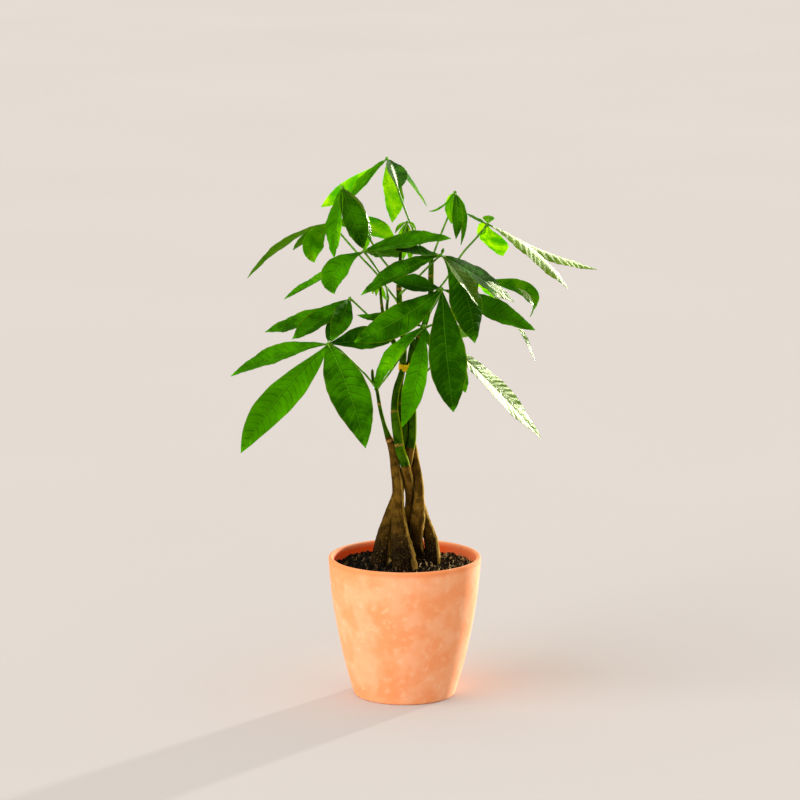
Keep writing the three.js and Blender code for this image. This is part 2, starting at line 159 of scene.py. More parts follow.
def addObject(name, data):
    thing = bpy.data.objects.new(name, data)
    bpy.context.scene.collection.objects.link(thing)
    return thing


def addPiece(name, mesh, materials, replaced=None):
    piece = addObject(name, mesh)
    for material in materials:
        mesh.materials.append(material)
    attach(piece, "root")
    if replaced:
        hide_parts(replaced)
    return piece


# small helpers for materials and geometry trees

def colour(code):
    channels = [int(code[i:i + 2], 16) / 255 for i in (1, 3, 5)]
    linear = [c / 12.92 if c <= 0.04045 else ((c + 0.055) / 1.055) ** 2.4 for c in channels]
    return (*linear, 1)


# short names for the nodes used most; others are named in full
nodeKinds = {
    "coordinates": ("ShaderNodeTexCoord", {}),
    "attribute": ("ShaderNodeAttribute", {}),
    "split": ("ShaderNodeSeparateXYZ", {}),
    "noise": ("ShaderNodeTexNoise", {}),
    "ramp": ("ShaderNodeMapRange", {"interpolation_type": "SMOOTHSTEP"}),
    "blend": ("ShaderNodeMix", {"data_type": "RGBA"}),
}
for step in ("add", "subtract", "multiply", "divide", "power", "sine", "absolute", "fract", "pingpong",
             "maximum", "less_than", "greater_than", "multiply_add"):
    nodeKinds[step] = ("ShaderNodeMath", {"operation": step.upper()})


def addNode(tree, kind, *inputs, out=None, **settings):
    # one node with its settings and links: inputs go to its open sockets in order, or by name where
    # they come as a dictionary, and the output that is named, or else the first open one, comes back
    kind, fixed = nodeKinds.get(kind, (kind, {}))
    node = tree.nodes.new(kind)
    for setting, value in {**fixed, **settings}.items():
        setattr(node, setting, value)
    if inputs and isinstance(inputs[0], dict):
        pairs = [(node.inputs[name], value) for name, value in inputs[0].items()]
    else:
        pairs = zip([socket for socket in node.inputs if socket.enabled], inputs)
    for socket, value in pairs:
        if isinstance(value, bpy.types.NodeSocket):
            tree.links.new(value, socket)
        elif socket.type == "RGBA":
            socket.default_value = colour(value)
        else:
            socket.default_value = value
    if out:
        return node.outputs[out]
    return next((socket for socket in node.outputs if socket.enabled), None)


def layered(add, tint, *coats):
    # colours laid over one another, each by its own share
    for share, over in coats:
        tint = add("blend", share, tint, over)
    return tint


def newMaterial(name):
    material = bpy.data.materials.new(name)
    material.use_nodes = True
    material.node_tree.nodes.clear()
    return material, partial(addNode, material.node_tree)


def surfaced(material, add, relief, strength, depth, look):
    # closes a material with its relief, whose depth is in metres, and the look of its surface
    bump = add("ShaderNodeBump", {"Strength": strength, "Distance": depth, "Height": relief})
    shader = add("ShaderNodeBsdfPrincipled", {**look, "Normal": bump})
    add("ShaderNodeOutputMaterial", {"Surface": shader})
    return material


def newTree(name, inputs, result):
    # an empty geometry tree, what its inputs are called inside it, and what adds its nodes
    tree = bpy.data.node_groups.new(name, "GeometryNodeTree")
    names = {}
    for label, kind in inputs.items():
        item = tree.interface.new_socket(label, in_out="INPUT", socket_type="NodeSocket" + kind)
        names[label] = item.identifier
    tree.interface.new_socket(result, in_out="OUTPUT", socket_type="NodeSocketGeometry")
    add = partial(addNode, tree)
    return tree, names, add, add("NodeGroupInput").node.outputs


def closeTree(add, given, geometry):
    real = add("GeometryNodeRealizeInstances", geometry)
    coated = add("GeometryNodeSetMaterial", {"Geometry": real, "Material": given["Material"]})
    add("NodeGroupOutput", coated)


def grown(carrier, tree, names, values):
    # the tree's result on a carrier object, as a plain mesh
    modifier = carrier.modifiers.new(tree.name, "NODES")
    modifier.node_group = tree
    for name, value in values.items():
        modifier[names[name]] = value
    bpy.context.view_layer.update()
    evaluated = carrier.evaluated_get(bpy.context.evaluated_depsgraph_get())
    mesh = bpy.data.meshes.new_from_object(evaluated)
    mesh.materials.clear()
    carrier.modifiers.remove(modifier)
    return mesh


# camera at the eye that the layout is seen from
cameraData = bpy.data.cameras.new("camera")
cameraData.sensor_width = view["sensor"]
cameraData.lens = view["lens"] / view["size"] * view["sensor"]
cameraData.clip_end = 100
camera = addObject("camera", cameraData)
camera.location = viewEye / 1000
camera.rotation_euler = (math.pi / 2 - view["pitch"], 0, 0)
bpy.context.scene.camera = camera
print("camera placed")

# a low sun behind the plant, a wide soft light from the left, a broad one from behind right
# that only puts a sheen on the leaves at the right and the top, and pale surroundings
lights = {
    "sun": {"towards": (0.62, 0.79, 0.055), "strength": 8, "width": 2.5, "tint": "#FFFAF0"},
    "soft": {"towards": (-0.9, -0.52, 0.4), "strength": 2.7, "width": 60, "tint": "#FFFCF8"},
    "sheen": {"towards": (0.54, 0.71, 0.45), "strength": 9.5, "width": 46, "tint": "#FFFCE0"},
}
surroundings = {
    "sky": "#F2EAE0",
    "skyStrength": 1.08,
    "floor": "#C2BFBF",
    "floorSize": 60,
    "floorPatch": 900,
    "floorPaleness": 0.06,
    "sheenLeaves": ("leaf_low_right", "leaf_right", "leaf_right_back", "leaf_centre_upper", "leaf_top"),
}


def addLights():
    for name, lamp in lights.items():
        data = bpy.data.lights.new(name, "SUN")
        data.color = colour(lamp["tint"])[:3]
        data.energy = lamp["strength"]
        data.angle = math.radians(lamp["width"])
        light = addObject(name, data)
        light.location = lamp["towards"]
        light.rotation_euler = Vector(lamp["towards"]).to_track_quat("Z", "Y").to_euler()
    sheen = bpy.data.objects["sheen"]
    sheen.visible_diffuse = False
    sheen.light_linking.receiver_collection = bpy.data.collections.new("leaves with a sheen")
    world = bpy.data.worlds.new("surroundings")
    world.use_nodes = True
    sky = world.node_tree.nodes["Background"]
    sky.inputs["Color"].default_value = colour(surroundings["sky"])
    sky.inputs["Strength"].default_value = surroundings["skyStrength"]
    bpy.context.scene.world = world
    bpy.context.scene.view_settings.view_transform = "Standard"


def addFloor():
    half = surroundings["floorSize"] / 2
    mesh = bpy.data.meshes.new("floor")
    corners = [(-half, -half, 0), (half, -half, 0), (half, half, 0), (-half, half, 0)]
    mesh.from_pydata(corners, [], [(0, 1, 2, 3)])
    material, add = newMaterial("pale painted floor")
    uneven = add("noise", add("coordinates", out="Object"), 1000 / surroundings["floorPatch"], 2, 0.55)
    shader = add("ShaderNodeBsdfPrincipled", {
        "Base Color": add("blend", add("multiply", uneven, surroundings["floorPaleness"]),
                          surroundings["floor"], "#FFFFFF"),
        "Roughness": 1.0, "Specular IOR Level": 0.0})
    add("ShaderNodeOutputMaterial", {"Surface": shader})
    mesh.materials.append(material)
    addObject("floor", mesh)


addLights()
addFloor()
print("lights and floor placed")

# the pot
pot = {
    "rimRadius": 75,
    "footRadius": 50.4,
    "height": 138.5,
    "bulgeRadius": 70.3,
    "bulgeHeight": 66,
    "footRounding": 2,
    "rimRounding": 2.2,
    "wall": 4.6,
    "floor": 8,
    "floorFillet": 4,
    "sides": 144,
    "wallSteps": 40,
    "arcSteps": 6,
    "unevenness": 0.22,
    "unevenWidth": 38,
    "evenFoot": 6,
    "clay": "#F39C66",
    "paleClay": "#F5AE80",
    "deepClay": "#EA884E",
    "bloom": "#F9C39B",
    "dampClay": "#F4520C",
    "dampFrom": (0.119, 0.121),
    "dampTo": (0.137, 0.133),
    "dampRadius": (0.0716, 0.0704),
    "dryingSide": (0.03, 0.06),
    "rimFrom": (0.131, 0.1365),
    "rimOutside": (0.0725, 0.074),
    "cloudWidth": 30,
    "bloomWidth": 8,
    "gritWidth": 0.7,
    "turningPitch": 1.6,
}


def potWallRadius(height):
    # the outer wall is one smooth bow from foot to rim
    low, high, bulge = pot["footRounding"], pot["height"] - pot["rimRounding"], pot["bulgeHeight"]
    a, b = high + low - 2 * bulge, 2 * (bulge - low)
    along = (-b + math.sqrt(b * b + 4 * a * (height - low))) / (2 * a)
    rest = 1 - along
    return (rest * rest * pot["footRadius"] + 2 * rest * along * pot["bulgeRadius"]
            + along * along * pot["rimRadius"])


def arc(centre, radius, start, end):
    steps = pot["arcSteps"]
    angles = [math.radians(start + (end - start) * i / steps) for i in range(steps + 1)]
    return [(centre[0] + radius * math.cos(a), centre[1] + radius * math.sin(a)) for a in angles]


def potProfile():
    foot, rim, fillet = pot["footRounding"], pot["rimRounding"], pot["floorFillet"]
    top = pot["height"] - rim
    heights = [foot + (top - foot) * i / pot["wallSteps"] for i in range(1, pot["wallSteps"])]
    outer = [(potWallRadius(height), height) for height in heights]
    inner = [(radius - pot["wall"], height) for radius, height in reversed(outer)
             if height > pot["floor"] + fillet]
    return [
        (0, 0),
        *arc((pot["footRadius"] - foot, foot), foot, -90, 0),
        *outer,
        *arc((pot["rimRadius"] - rim, top), rim, 0, 90),
        *arc((pot["rimRadius"] - pot["wall"] + rim, top), rim, 90, 180),
        *inner,
        *reversed(arc((inner[-1][0] - fillet, pot["floor"] + fillet), fillet, -90, 0)),
        (0, pot["floor"]),
    ]


def handTurned(point):
    # no turned pot is quite round
    out = Vector((point.x, point.y, 0))
    if out.length < 1:
        return point
    push = noise.noise(point / pot["unevenWidth"]) * pot["unevenness"]
    push *= min(point.z / pot["evenFoot"], 1)
    return point + out.normalized() * min(push, pot["unevenness"])


def unglazedTerracotta():
    # porous low-fired clay, turned and left bare: chalky, cloudy with pale bloom, no gloss at all
    material, add = newMaterial("unglazed terracotta")
    where = add("coordinates", out="Object")
    broad = add("noise", where, 1000 / pot["cloudWidth"], 4, 0.55)
    patches = add("noise", where, 1000 / pot["bloomWidth"], 6, 0.62)
    grit = add("noise", where, 1000 / pot["gritWidth"], 2, 0.55)
    across, _, height = add("split", where).node.outputs
    level = add("ShaderNodeVectorMath", where, (1, 1, 0), operation="MULTIPLY")
    outward = add("ShaderNodeVectorMath", level, operation="LENGTH", out="Value")
    # painted shade: the inner wall near the top is painted a deeper orange, as clay looks in shade, less
    # so towards the right side
    damp = add("ramp", outward, *pot["dampRadius"])
    damp = add("multiply", damp, add("ramp", height, *pot["dampFrom"]))
    damp = add("multiply", damp, add("ramp", height, *pot["dampTo"], 0.5, 1))
    damp = add("multiply", damp, add("ramp", across, *pot["dryingSide"], 1, 0.6))
    # painted shade: the outer face of the rim is painted a deeper orange towards its top
    rim = add("ramp", outward, *pot["rimOutside"], 0, 0.7)
    rim = add("multiply", add("ramp", height, *pot["rimFrom"]), rim)
    tint = layered(
        add, pot["clay"],
        (add("ramp", broad, 0.38, 0.66), pot["paleClay"]),
        (add("ramp", patches, 0.52, 0.68, 0, 0.45), pot["bloom"]),
        (add("ramp", patches, 0.45, 0.3, 0, 0.25), pot["deepClay"]),
        (add("ramp", grit, 0.62, 0.75, 0, 0.15), pot["deepClay"]),
        (rim, pot["deepClay"]),
        (damp, pot["dampClay"]),
    )
    ringed = add("sine", add("multiply", height, 2000 * math.pi / pot["turningPitch"]))
    relief = add("add", add("add", add("multiply", ringed, 0.12), grit), add("multiply", patches, 0.8))
    return surfaced(material, add, relief, 0.35, 0.0004, {
        "Base Color": tint, "Roughness": add("ramp", patches, 0.3, 0.7, 0.78, 0.92),
        "IOR": 1.5, "Specular IOR Level": 0.25})


def makePot():
    skin = startSkin()
    addTurned(skin, potProfile(), pot["sides"], handTurned)
    mesh = meshFrom("terracotta_pot", skin)
    addPiece("terracotta_pot", mesh, [unglazedTerracotta()], "pot")


makePot()
print("pot made")

# the soil, and the crumbs, bark chips and dry fibres strewn on it
soil = {
    "edgeHeight": 128,
    "mound": 4.5,
    "moundEasing": 1.3,
    "gap": 0.7,
    "bottom": 8.3,
    "wallStep": 12,
    "sides": 96,
    "rings": 34,
    "looseDepth": 6,
    "lumpWidth": 7,
    "lumpHeight": 1.6,
    "grainWidth": 1.4,
    "earth": "#030302",
    "earthPale": "#0E0B07",
    "steepest": 0.55,
    "sunnySide": (-0.01, 0.045),
}
strewn = {
    "soil_crumbs": {
        "Density": 60000, "Smallest": 0.0005, "Largest": 0.0034, "Flatness": 0.6, "Seed": 4,
        "look": ("soil crumbs", "#050402", "#2A2010", 0.8)},
    "bark_chips": {
        "Density": 30000, "Smallest": 0.0012, "Largest": 0.005, "Flatness": 0.45, "Seed": 11,
        "look": ("bark chips", "#241A0C", "#A88E62", 0.9)},
    "dry_fibres": {
        "Density": 7000, "Smallest": 0.0012, "Largest": 0.0052, "Flatness": 1.0, "Seed": 23,
        "look": ("dry plant fibres", "#6E5730", "#D8C48E", 2)},
}


def soilTop(radius, edge):
    # a low mound that eases down to the wall
    share = min(radius / edge, 1) ** soil["moundEasing"]
    return soil["edgeHeight"] + soil["mound"] * (0.5 + 0.5 * math.cos(math.pi * share))


def soilProfile():
    foot = pot["floor"] + pot["floorFillet"]
    wall = [(potWallRadius(height) - pot["wall"] - soil["gap"], height)
            for height in range(foot, soil["edgeHeight"], soil["wallStep"])]
    edge = potWallRadius(soil["edgeHeight"]) - pot["wall"] - soil["gap"]
    radii = [edge * (1 - ring / soil["rings"]) for ring in range(soil["rings"])]
    return [
        (0, soil["bottom"]),
        (potWallRadius(foot) - pot["wall"] - pot["floorFillet"], soil["bottom"]),
        *wall,
        *((radius, soilTop(radius, edge)) for radius in (*radii, 0)),
    ]


def lumpy(point):
    if point.z < soil["edgeHeight"] - soil["looseDepth"]:
        return point
    flat = Vector((point.x, point.y, 0))
    lump = noise.noise(flat / soil["lumpWidth"]) + 0.5 * noise.noise(flat / (soil["lumpWidth"] / 3))
    return point + Vector((0, 0, (lump - 0.4) * soil["lumpHeight"]))


def dampSoil():
    # peat and composted bark, damp: near black, crumbly, with paler dry grains
    material, add = newMaterial("damp potting soil")
    grains = add("noise", add("coordinates", out="Object"), 1000 / soil["grainWidth"], 3, 0.55)
    return surfaced(material, add, grains, 0.8, 0.001, {
        "Base Color": add("blend", add("ramp", grains, 0.5, 0.75), soil["earth"], soil["earthPale"]),
        "Roughness": 0.95, "Specular IOR Level": 0.05})


def strewnMatter(name, dark, pale, patch):
    # loose bits, each with its own shade from dark to pale, and a fine grain
    material, add = newMaterial(name)
    shade = add("attribute", out="Fac", attribute_name="shade")
    where = add("coordinates", out="Object")
    grain = add("noise", where, 1000 / patch, 3, 0.55)
    # painted light: the bits towards the sunlit right side are painted paler, and those towards the left
    # darker
    sunny = add("ramp", add("split", where, out="X"), *soil["sunnySide"], 0.22, 2.7)
    share = add("multiply", add("power", shade, 1.6), add("ramp", grain, 0.3, 0.7, 0.5, 1.1))
    return surfaced(material, add, grain, 0.5, 0.0005, {
        "Base Color": add("blend", add("multiply", share, sunny), dark, pale),
        "Roughness": 0.9, "Specular IOR Level": 0.08})


def strewnTree():
    # strews copies of a shape over the faces that look up, each with its own turn, size and shade
    tree, names, add, given = newTree("strewn on soil", {
        "Ground": "Geometry", "Shape": "Object", "Density": "Float", "Smallest": "Float",
        "Largest": "Float", "Flatness": "Float", "Seed": "Int", "Material": "Material"}, "Bits")
    seed = {"Seed": given["Seed"]}
    upward = add("split", add("GeometryNodeInputNormal"), out="Z")
    spots = add("GeometryNodeDistributePointsOnFaces", {
        "Mesh": given["Ground"], "Selection": add("greater_than", upward, soil["steepest"]),
        "Density": given["Density"], **seed})
    shape = add("GeometryNodeObjectInfo", {"Object": given["Shape"]}, out="Geometry")
    turn = add("FunctionNodeRandomValue", {1: (math.tau,) * 3, **seed}, data_type="FLOAT_VECTOR")
    across = add("FunctionNodeRandomValue", {2: given["Smallest"], 3: given["Largest"], **seed},
                 data_type="FLOAT")
    size = add("ShaderNodeCombineXYZ", across, across, add("multiply", across, given["Flatness"]))
    copies = add("GeometryNodeInstanceOnPoints", {
        "Points": spots, "Instance": shape, "Rotation": turn, "Scale": size})
    shade = add("FunctionNodeRandomValue", seed, data_type="FLOAT")
    closeTree(add, given, add("GeometryNodeStoreNamedAttribute", {
        "Geometry": copies, "Name": "shade", "Value": shade}, domain="INSTANCE", data_type="FLOAT"))
    return tree, names


def crumbShape(skin):
    # a lump whose rings are broken at random
    dice = random.Random(5)
    rings = []
    for height in (-0.75, -0.25, 0.3, 0.8):
        radius = math.sqrt(1 - height * height)
        rings.append([])
        for side in range(6):
            spot = onCircle(radius * dice.uniform(0.75, 1.15), math.tau * side / 6, height)
            rings[-1].append(addPoint(skin, spot))
    addBands(skin, rings)
    addFace(skin, tuple(reversed(rings[0])))
    addFace(skin, tuple(rings[-1]))


def chipShape(skin):
    # a splinter of bark: long, flat and broken off at both ends
    centres = [Vector((x, 0, 0)) for x in (-1, -0.7, 0, 0.6, 1)]
    widths = (0.12, 0.3, 0.36, 0.28, 0.14)
    addTube(skin, centres, lambda i, angle: widths[i] * (1 if abs(math.sin(angle)) < 0.5 else 0.45), 8)


def fibreShape(skin):
    spots = [(t, 0.35 * math.sin(2.2 * t), 0.12 * t * t) for t in (-1, -0.6, -0.2, 0.2, 0.6, 1)]
    addTube(skin, [Vector(spot) for spot in spots], lambda i, angle: 0.08, 4)


def makeSoil():
    skin = startSkin()
    addTurned(skin, soilProfile(), soil["sides"], lumpy)
    ground = addPiece("potting_soil", meshFrom("potting_soil", skin), [dampSoil()], "soil")
    tree, names = strewnTree()
    for (name, rule), drawShape in zip(strewn.items(), (crumbShape, chipShape, fibreShape)):
        # a unit shape, parked unseen until its copies are made
        skin = startSkin()
        drawShape(skin)
        unit = bpy.data.meshes.new(name + " shape")
        unit.from_pydata(skin["points"], [], skin["faces"])
        shape = addObject(unit.name, unit)
        shape.hide_render = True
        material = strewnMatter(*rule["look"])
        values = {label: value for label, value in rule.items() if label != "look"}
        mesh = grown(ground, tree, names, {**values, "Shape": shape, "Material": material})
        bpy.data.objects.remove(shape)
        addPiece(name, mesh, [material])
        print(name, len(mesh.polygons), "faces")


makeSoil()
print("soil made")

# the five trunks, each with the green stems that it ends in: spots of (across, down, depth,
# radius) from the foot up; green is where the bark turns green, and scars is where old leaves
# ringed it, as places down the view
strands = {
    "left": {
        "row": [
            (380, 590, -4, 11), (381, 562, -4, 10), (384, 540, -1, 8.4), (389.5, 520, 2, 7.3),
            (396, 500, 7, 6), (401.5, 480, 8, 5.1), (406.5, 466, 4, 4.6), (410.4, 450, 1, 4),
            (412.3, 438, 0.6, 3.9), (412.4, 405, 0, 3.6), (411, 385, -1, 3.2),
            (409.8, 366, -1.5, 2.6), (416, 345, 2, 2.8), (426, 320, 6, 2.9), (430.6, 296, 8, 2.7),
            (431, 275, 8, 2.6), (431.5, 256, 8, 2.2),
        ],
        "green": (450, 445),
        "scars": (398, 338, 300, 276),
    },
    "front": {
        "row": [
            (406, 595, -24, 14), (405, 567, -22, 13.2), (402.5, 550, -18, 11.4),
            (400.6, 538, -14, 9.5), (399, 525, -11.5, 8), (398, 508, -9.5, 6.7),
            (398, 490, -7, 5.7), (395.7, 470, -3, 4.9), (393.6, 455, 0, 4.2),
            (391.5, 445, 0.5, 3.9), (388.4, 437, 0, 3.2), (384.6, 426, -1, 2.1),
            (380, 408, -2, 1.8), (376.6, 389, -2, 1.6), (373, 379, -2, 1.6), (372.3, 369, -2, 1.3),
        ],
        "green": (438, 435),
        "scars": (440, 404),
    },
    "centre": {
        "row": [
            (400, 580, 26, 9.5), (402, 555, 24, 9), (404.5, 540, 19, 8), (408, 520, 13, 6.4),
            (410.2, 505, 5, 5.2), (409.9, 490, 1, 5.1), (408.4, 480, -2, 5), (406.3, 470, -5, 4.7),
            (403.8, 460, -7, 4.6), (400.3, 450, -8, 4.7), (397.2, 430, -6, 4.7),
            (394.5, 410, -5, 3.6), (396.5, 390, -4.5, 3.3), (400.8, 376, -3.8, 3),
            (403.3, 366, -2.5, 2.5), (404, 345, -2, 2.8), (401, 320, -2, 2.8),
            (399.4, 300, -2, 2.7), (399, 285, -1, 2.5), (400, 265, 1, 1.8), (401, 248, 3, 1.5),
        ],
        "green": (467, 463),
        "scars": (445, 411, 345, 312, 289),
    },
    "inner": {
        "row": [
            (419, 582, 14, 9), (418, 557, 13, 8.4), (416.4, 540, 5, 6.6), (417, 528, -1, 7),
            (418, 516, -4, 7.2), (419, 500, -4, 5.6), (419.3, 488, -3, 4.7), (417.8, 476, 2, 4.5),
            (416.1, 466, 6, 4.1), (414.3, 454, 9, 3.7), (411.9, 440, 9, 3.6), (410, 415, 8, 3.2),
            (408.5, 390, 7, 2.6), (408.6, 366, 4, 2.1), (411, 350, 9, 2.2), (414, 338, 11, 2),
        ],
        "green": (444, 438),
        "scars": (441, 396),
    },
    "right": {
        "row": [
            (434, 586, 4, 8.6), (432.8, 560, 3, 8.2), (430.9, 540, 10, 6.9),
            (427.6, 530, 10.5, 6.4), (424, 520, 11, 6), (420, 506, 13, 5.8), (416.5, 492, 14.5, 5),
            (413, 480, 15, 4.4), (408.2, 466, 14, 4), (405.6, 454, 10, 3.7), (404.3, 440, 5, 3.7),
            (403.9, 426, 3, 3.8), (401, 405, 2.5, 3.2), (400, 385, 3, 2.9), (403, 366, 3.4, 2.3),
            (398, 352, 4, 2.6), (391, 336, 3, 2.3), (384, 318, 1, 1.9), (381.2, 300, 0, 1.4),
            (380, 283, 0, 1.2),
        ],
        "fork": [
            (391, 336, 3, 1.9), (387.5, 320, -1, 1.6), (387, 308, -3, 1.4), (388, 297, -5, 1.3),
        ],
        "green": (449, 444),
        "scars": (402, 330, 305),
    },
}
trunk = {
    "sides": 28,
    "stepsEach": 9,
    "slim": (1.03, 0.97),
    "slimBetween": (465, 495),
    "fluting": (0.05, 1.6, 26, 9),
    "knots": (0.03, 2.5, 8.125, 28.8),
    "footRoughness": (0.09, 2.2, 3.2, 5),
    "roughBetween": (480, 540),
    "footBetween": (505, 550),
    "scarWidth": 1.4,
    "scarHeight": 0.06,
    "tipLength": 3,
    "tipBluntness": 0.02,
    "lineSteps": 5,
    "creviceReach": 3.4,
    "creviceHeight": 9,
    "fissureWidth": 1.1,
    "fissureLength": 14,
    "patchWidth": 9,
    "grainWidth": 1.2,
    "patternShift": 40,
    "lenticelGap": 4.4,
    "lenticelSize": (0.22, 0.1),
    "bark": "#44310D",
    "barkPale": "#6C4F1A",
    "barkDeep": "#160D03",
    "footBark": "#1C150C",
    "footDark": "#060403",
    "green": "#1C3A02",
    "greenPale": "#3C6206",
    "greenDeep": "#0C2001",
    "scar": "#A87C38",
    "lenticel": "#9A7A3C",
    "moss": "#DCB450",
    "sunnyGreen": "#8CA80C",
    "grime": "#0A0602",
    "gleam": "#E2B25A",
}


def bent(points, along):
    # a smooth line through points, evenly curved however far apart they are
    i = min(int(along), len(points) - 2)
    share = along - i
    second, third = points[i], points[i + 1]
    first = points[i - 1] if i else second * 2 - third
    fourth = points[i + 2] if i + 2 < len(points) else third * 2 - second
    pairs = ((first, second), (second, third), (third, fourth))
    a, b, c = (math.sqrt((end - start).length) for start, end in pairs)
    leave = (second - first) / a - (third - first) / (a + b) + (third - second) / b
    arrive = (third - second) / b - (fourth - second) / (b + c) + (fourth - third) / c
    leave, arrive = leave * b, arrive * b
    square, cube = share ** 2, share ** 3
    return (second * (2 * cube - 3 * square + 1) + third * (3 * square - 2 * cube)
            + leave * (cube - 2 * square + share) + arrive * (cube - square))


def eased(values, along):
    # numbers eased from one to the next in the same way
    i = min(int(along), len(values) - 2)
    share = along - i
    first, second, third, fourth = (values[clamped(k, 0, len(values) - 1)] for k in range(i - 1, i + 3))
    leave, arrive = (third - first) / 2, (fourth - second) / 2
    return (second + leave * share + (3 * (third - second) - 2 * leave - arrive) * share ** 2
            + (2 * (second - third) + leave + arrive) * share ** 3)


def passed(down, between):
    # how far down the view has come between two heights, from 0 to 1
    return clamped((down - between[0]) / (between[1] - between[0]))


def addStem(skin, row, green, scars, number):
    spots = [place(spot) for spot in row]
    downs, sizes = [spot[1] for spot in row], [spot[3] for spot in row]
    steps = trunk["stepsEach"] * (len(row) - 1)
    alongs = [step * (len(row) - 1) / steps for step in range(steps + 1)]
    centres = [bent(spots, along) for along in alongs]
    downs = [eased(downs, along) for along in alongs]
    radii = []
    for along, down in zip(alongs, downs):
        foot = passed(down, trunk["slimBetween"])
        radii.append(eased(sizes, along) * (trunk["slim"][0] * (1 - foot) + trunk["slim"][1] * foot))
    lengths = lengthsAlong(centres)

    def scarAt(i):
        return max([math.exp(-((downs[i] - scar) / trunk["scarWidth"]) ** 2) for scar in scars] or [0])

    def uneven(i, angle, kind):
        # noise that follows the bark, of a depth; a greater girth makes it finer round the stem,
        # a smaller gap makes it finer along it, and each stem has its own stretch of it
        depth, girth, gap, shift = trunk[kind]
        return noise.noise(onCircle(girth, angle, lengths[i] / gap + number * shift)) * depth

    def radiusAt(i, angle):
        relief = uneven(i, angle, "fluting") + uneven(i, angle, "knots")
        relief += uneven(i, angle, "footRoughness") * passed(downs[i], trunk["roughBetween"])
        tip = min((lengths[-1] - lengths[i]) / trunk["tipLength"], 1)
        rounded = math.sqrt(max(1 - (1 - tip) ** 2, trunk["tipBluntness"]))
        return radii[i] * rounded * (1 + relief + scarAt(i) * trunk["scarHeight"])

    def marksAt(i, angle):
        # the bark is unrolled straight, in millimetres, so its pattern runs along the stem
        straight = onCircle(radii[i], angle, lengths[i])
        straight.x += number * trunk["patternShift"]
        age = (passed(downs[i], green), scarAt(i), passed(downs[i], trunk["footBetween"]))
        return {"straight": straight, "age": age}
    addTube(skin, centres, radiusAt, trunk["sides"], marksAt)


def trunkLine(row):
    # spots down the middle of a trunk, with its radius there
    points, radii = [place(spot) for spot in row], [spot[3] for spot in row]
    steps = trunk["lineSteps"]
    alongs = [i / steps for i in range(steps * (len(row) - 1) + 1)]
    return [(bent(points, along), eased(radii, along)) for along in alongs]


def markCrevices(skin, neighbours):
    # painted shade: how close each point comes to the other trunks, since it is painted darker there as
    # in shade
    def closeness(point):
        gaps = [(point - centre).length - radius for centre, radius in neighbours
                if abs(centre.z - point.z) < trunk["creviceHeight"]]
        return clamped(1 - min(gaps, default=trunk["creviceReach"]) / trunk["creviceReach"])
    skin["marks"]["crevice"] = [(closeness(point), 0, 0) for point in skin["points"]]


def smoothBark():
    # young money-tree bark: smooth olive brown, cracked at the foot, with pale raised pores;
    # further up it is still green and waxy, with a pale ring where each old leaf fell
    material, add = newMaterial("smooth young bark")
    straight, age, crevice = (add("attribute", out="Vector", attribute_name=name)
                              for name in ("straight", "age", "crevice"))
    greenness, scarred, footness = add("split", age).node.outputs
    # fissures are drawn out along the stem, and pores are short and wide
    drawn = trunk["fissureWidth"] / trunk["fissureLength"]
    along, near, squat = (
        add("ShaderNodeMapping", {"Vector": straight, "Scale": [n / 1000 for n in scale]})
        for scale in ((1, 1, drawn), (1, 1, 1), (0.6, 0.6, 1.3)))
    fissures = add("noise", along, 1000 / trunk["fissureWidth"], 4, 0.6)
    broad = add("noise", near, 1000 / trunk["patchWidth"], 4, 0.55)
    fine = add("noise", near, 1000 / trunk["grainWidth"], 3, 0.55)
    pores = add("ShaderNodeTexVoronoi", squat, 1000 / trunk["lenticelGap"])
    pore = add("multiply", add("ramp", pores, *trunk["lenticelSize"]), add("ramp", broad, 0.48, 0.6))
    # painted light: the side that faces the sun is painted gold in flecks on the wood and yellower on
    # the green
    facing = add("split", add("ShaderNodeNewGeometry", out="Normal"), out="X")
    sunny = add("ramp", facing, 0.5, 0.9)
    foot = layered(
        add, trunk["footBark"],
        (add("ramp", fissures, 0.56, 0.38), trunk["footDark"]),
        (add("ramp", fine, 0.56, 0.66, 0, 0.22), trunk["lenticel"]),
    )
    wood = layered(
        add, trunk["bark"],
        (add("ramp", broad, 0.4, 0.62), trunk["barkPale"]),
        (add("ramp", fissures, 0.5, 0.3, 0, 0.45), trunk["barkDeep"]),
        (footness, foot),
        (add("multiply", pore, 0.6), trunk["lenticel"]),
        (add("multiply", sunny, add("ramp", fissures, 0.4, 0.6, 0.15, 0.85)), trunk["moss"]),
    )
    green = layered(
        add, trunk["green"],
        (add("ramp", broad, 0.35, 0.65), trunk["greenPale"]),
        (add("ramp", fissures, 0.45, 0.3, 0, 0.5), trunk["greenDeep"]),
        (add("multiply", sunny, 0.75), trunk["sunnyGreen"]),
    )
    ragged = add("add", greenness, add("multiply", add("subtract", fine, 0.5), 0.5))
    turned = add("ramp", ragged, 0.45, 0.62)
    broken = add("multiply", add("ramp", scarred, 0.3, 0.7), add("ramp", fine, 0.42, 0.55, 0.05, 1))
    tint = layered(
        add, wood,
        (turned, green),
        (broken, trunk["scar"]),
        # painted shade where the trunks crowd together
        (add("ramp", add("split", crevice, out="X"), 0.1, 0.9, 0, 0.85), trunk["grime"]),
    )
    relief = add("add", add("multiply", fissures, 1.3), add("multiply", fine, 0.5))
    return surfaced(material, add, add("add", relief, add("multiply", pore, 0.5)), 0.9, 0.001, {
        "Base Color": tint, "Roughness": add("ramp", turned, 0, 1, 0.85, 0.7),
        "Specular IOR Level": 0.01, "Specular Tint": trunk["gleam"]})


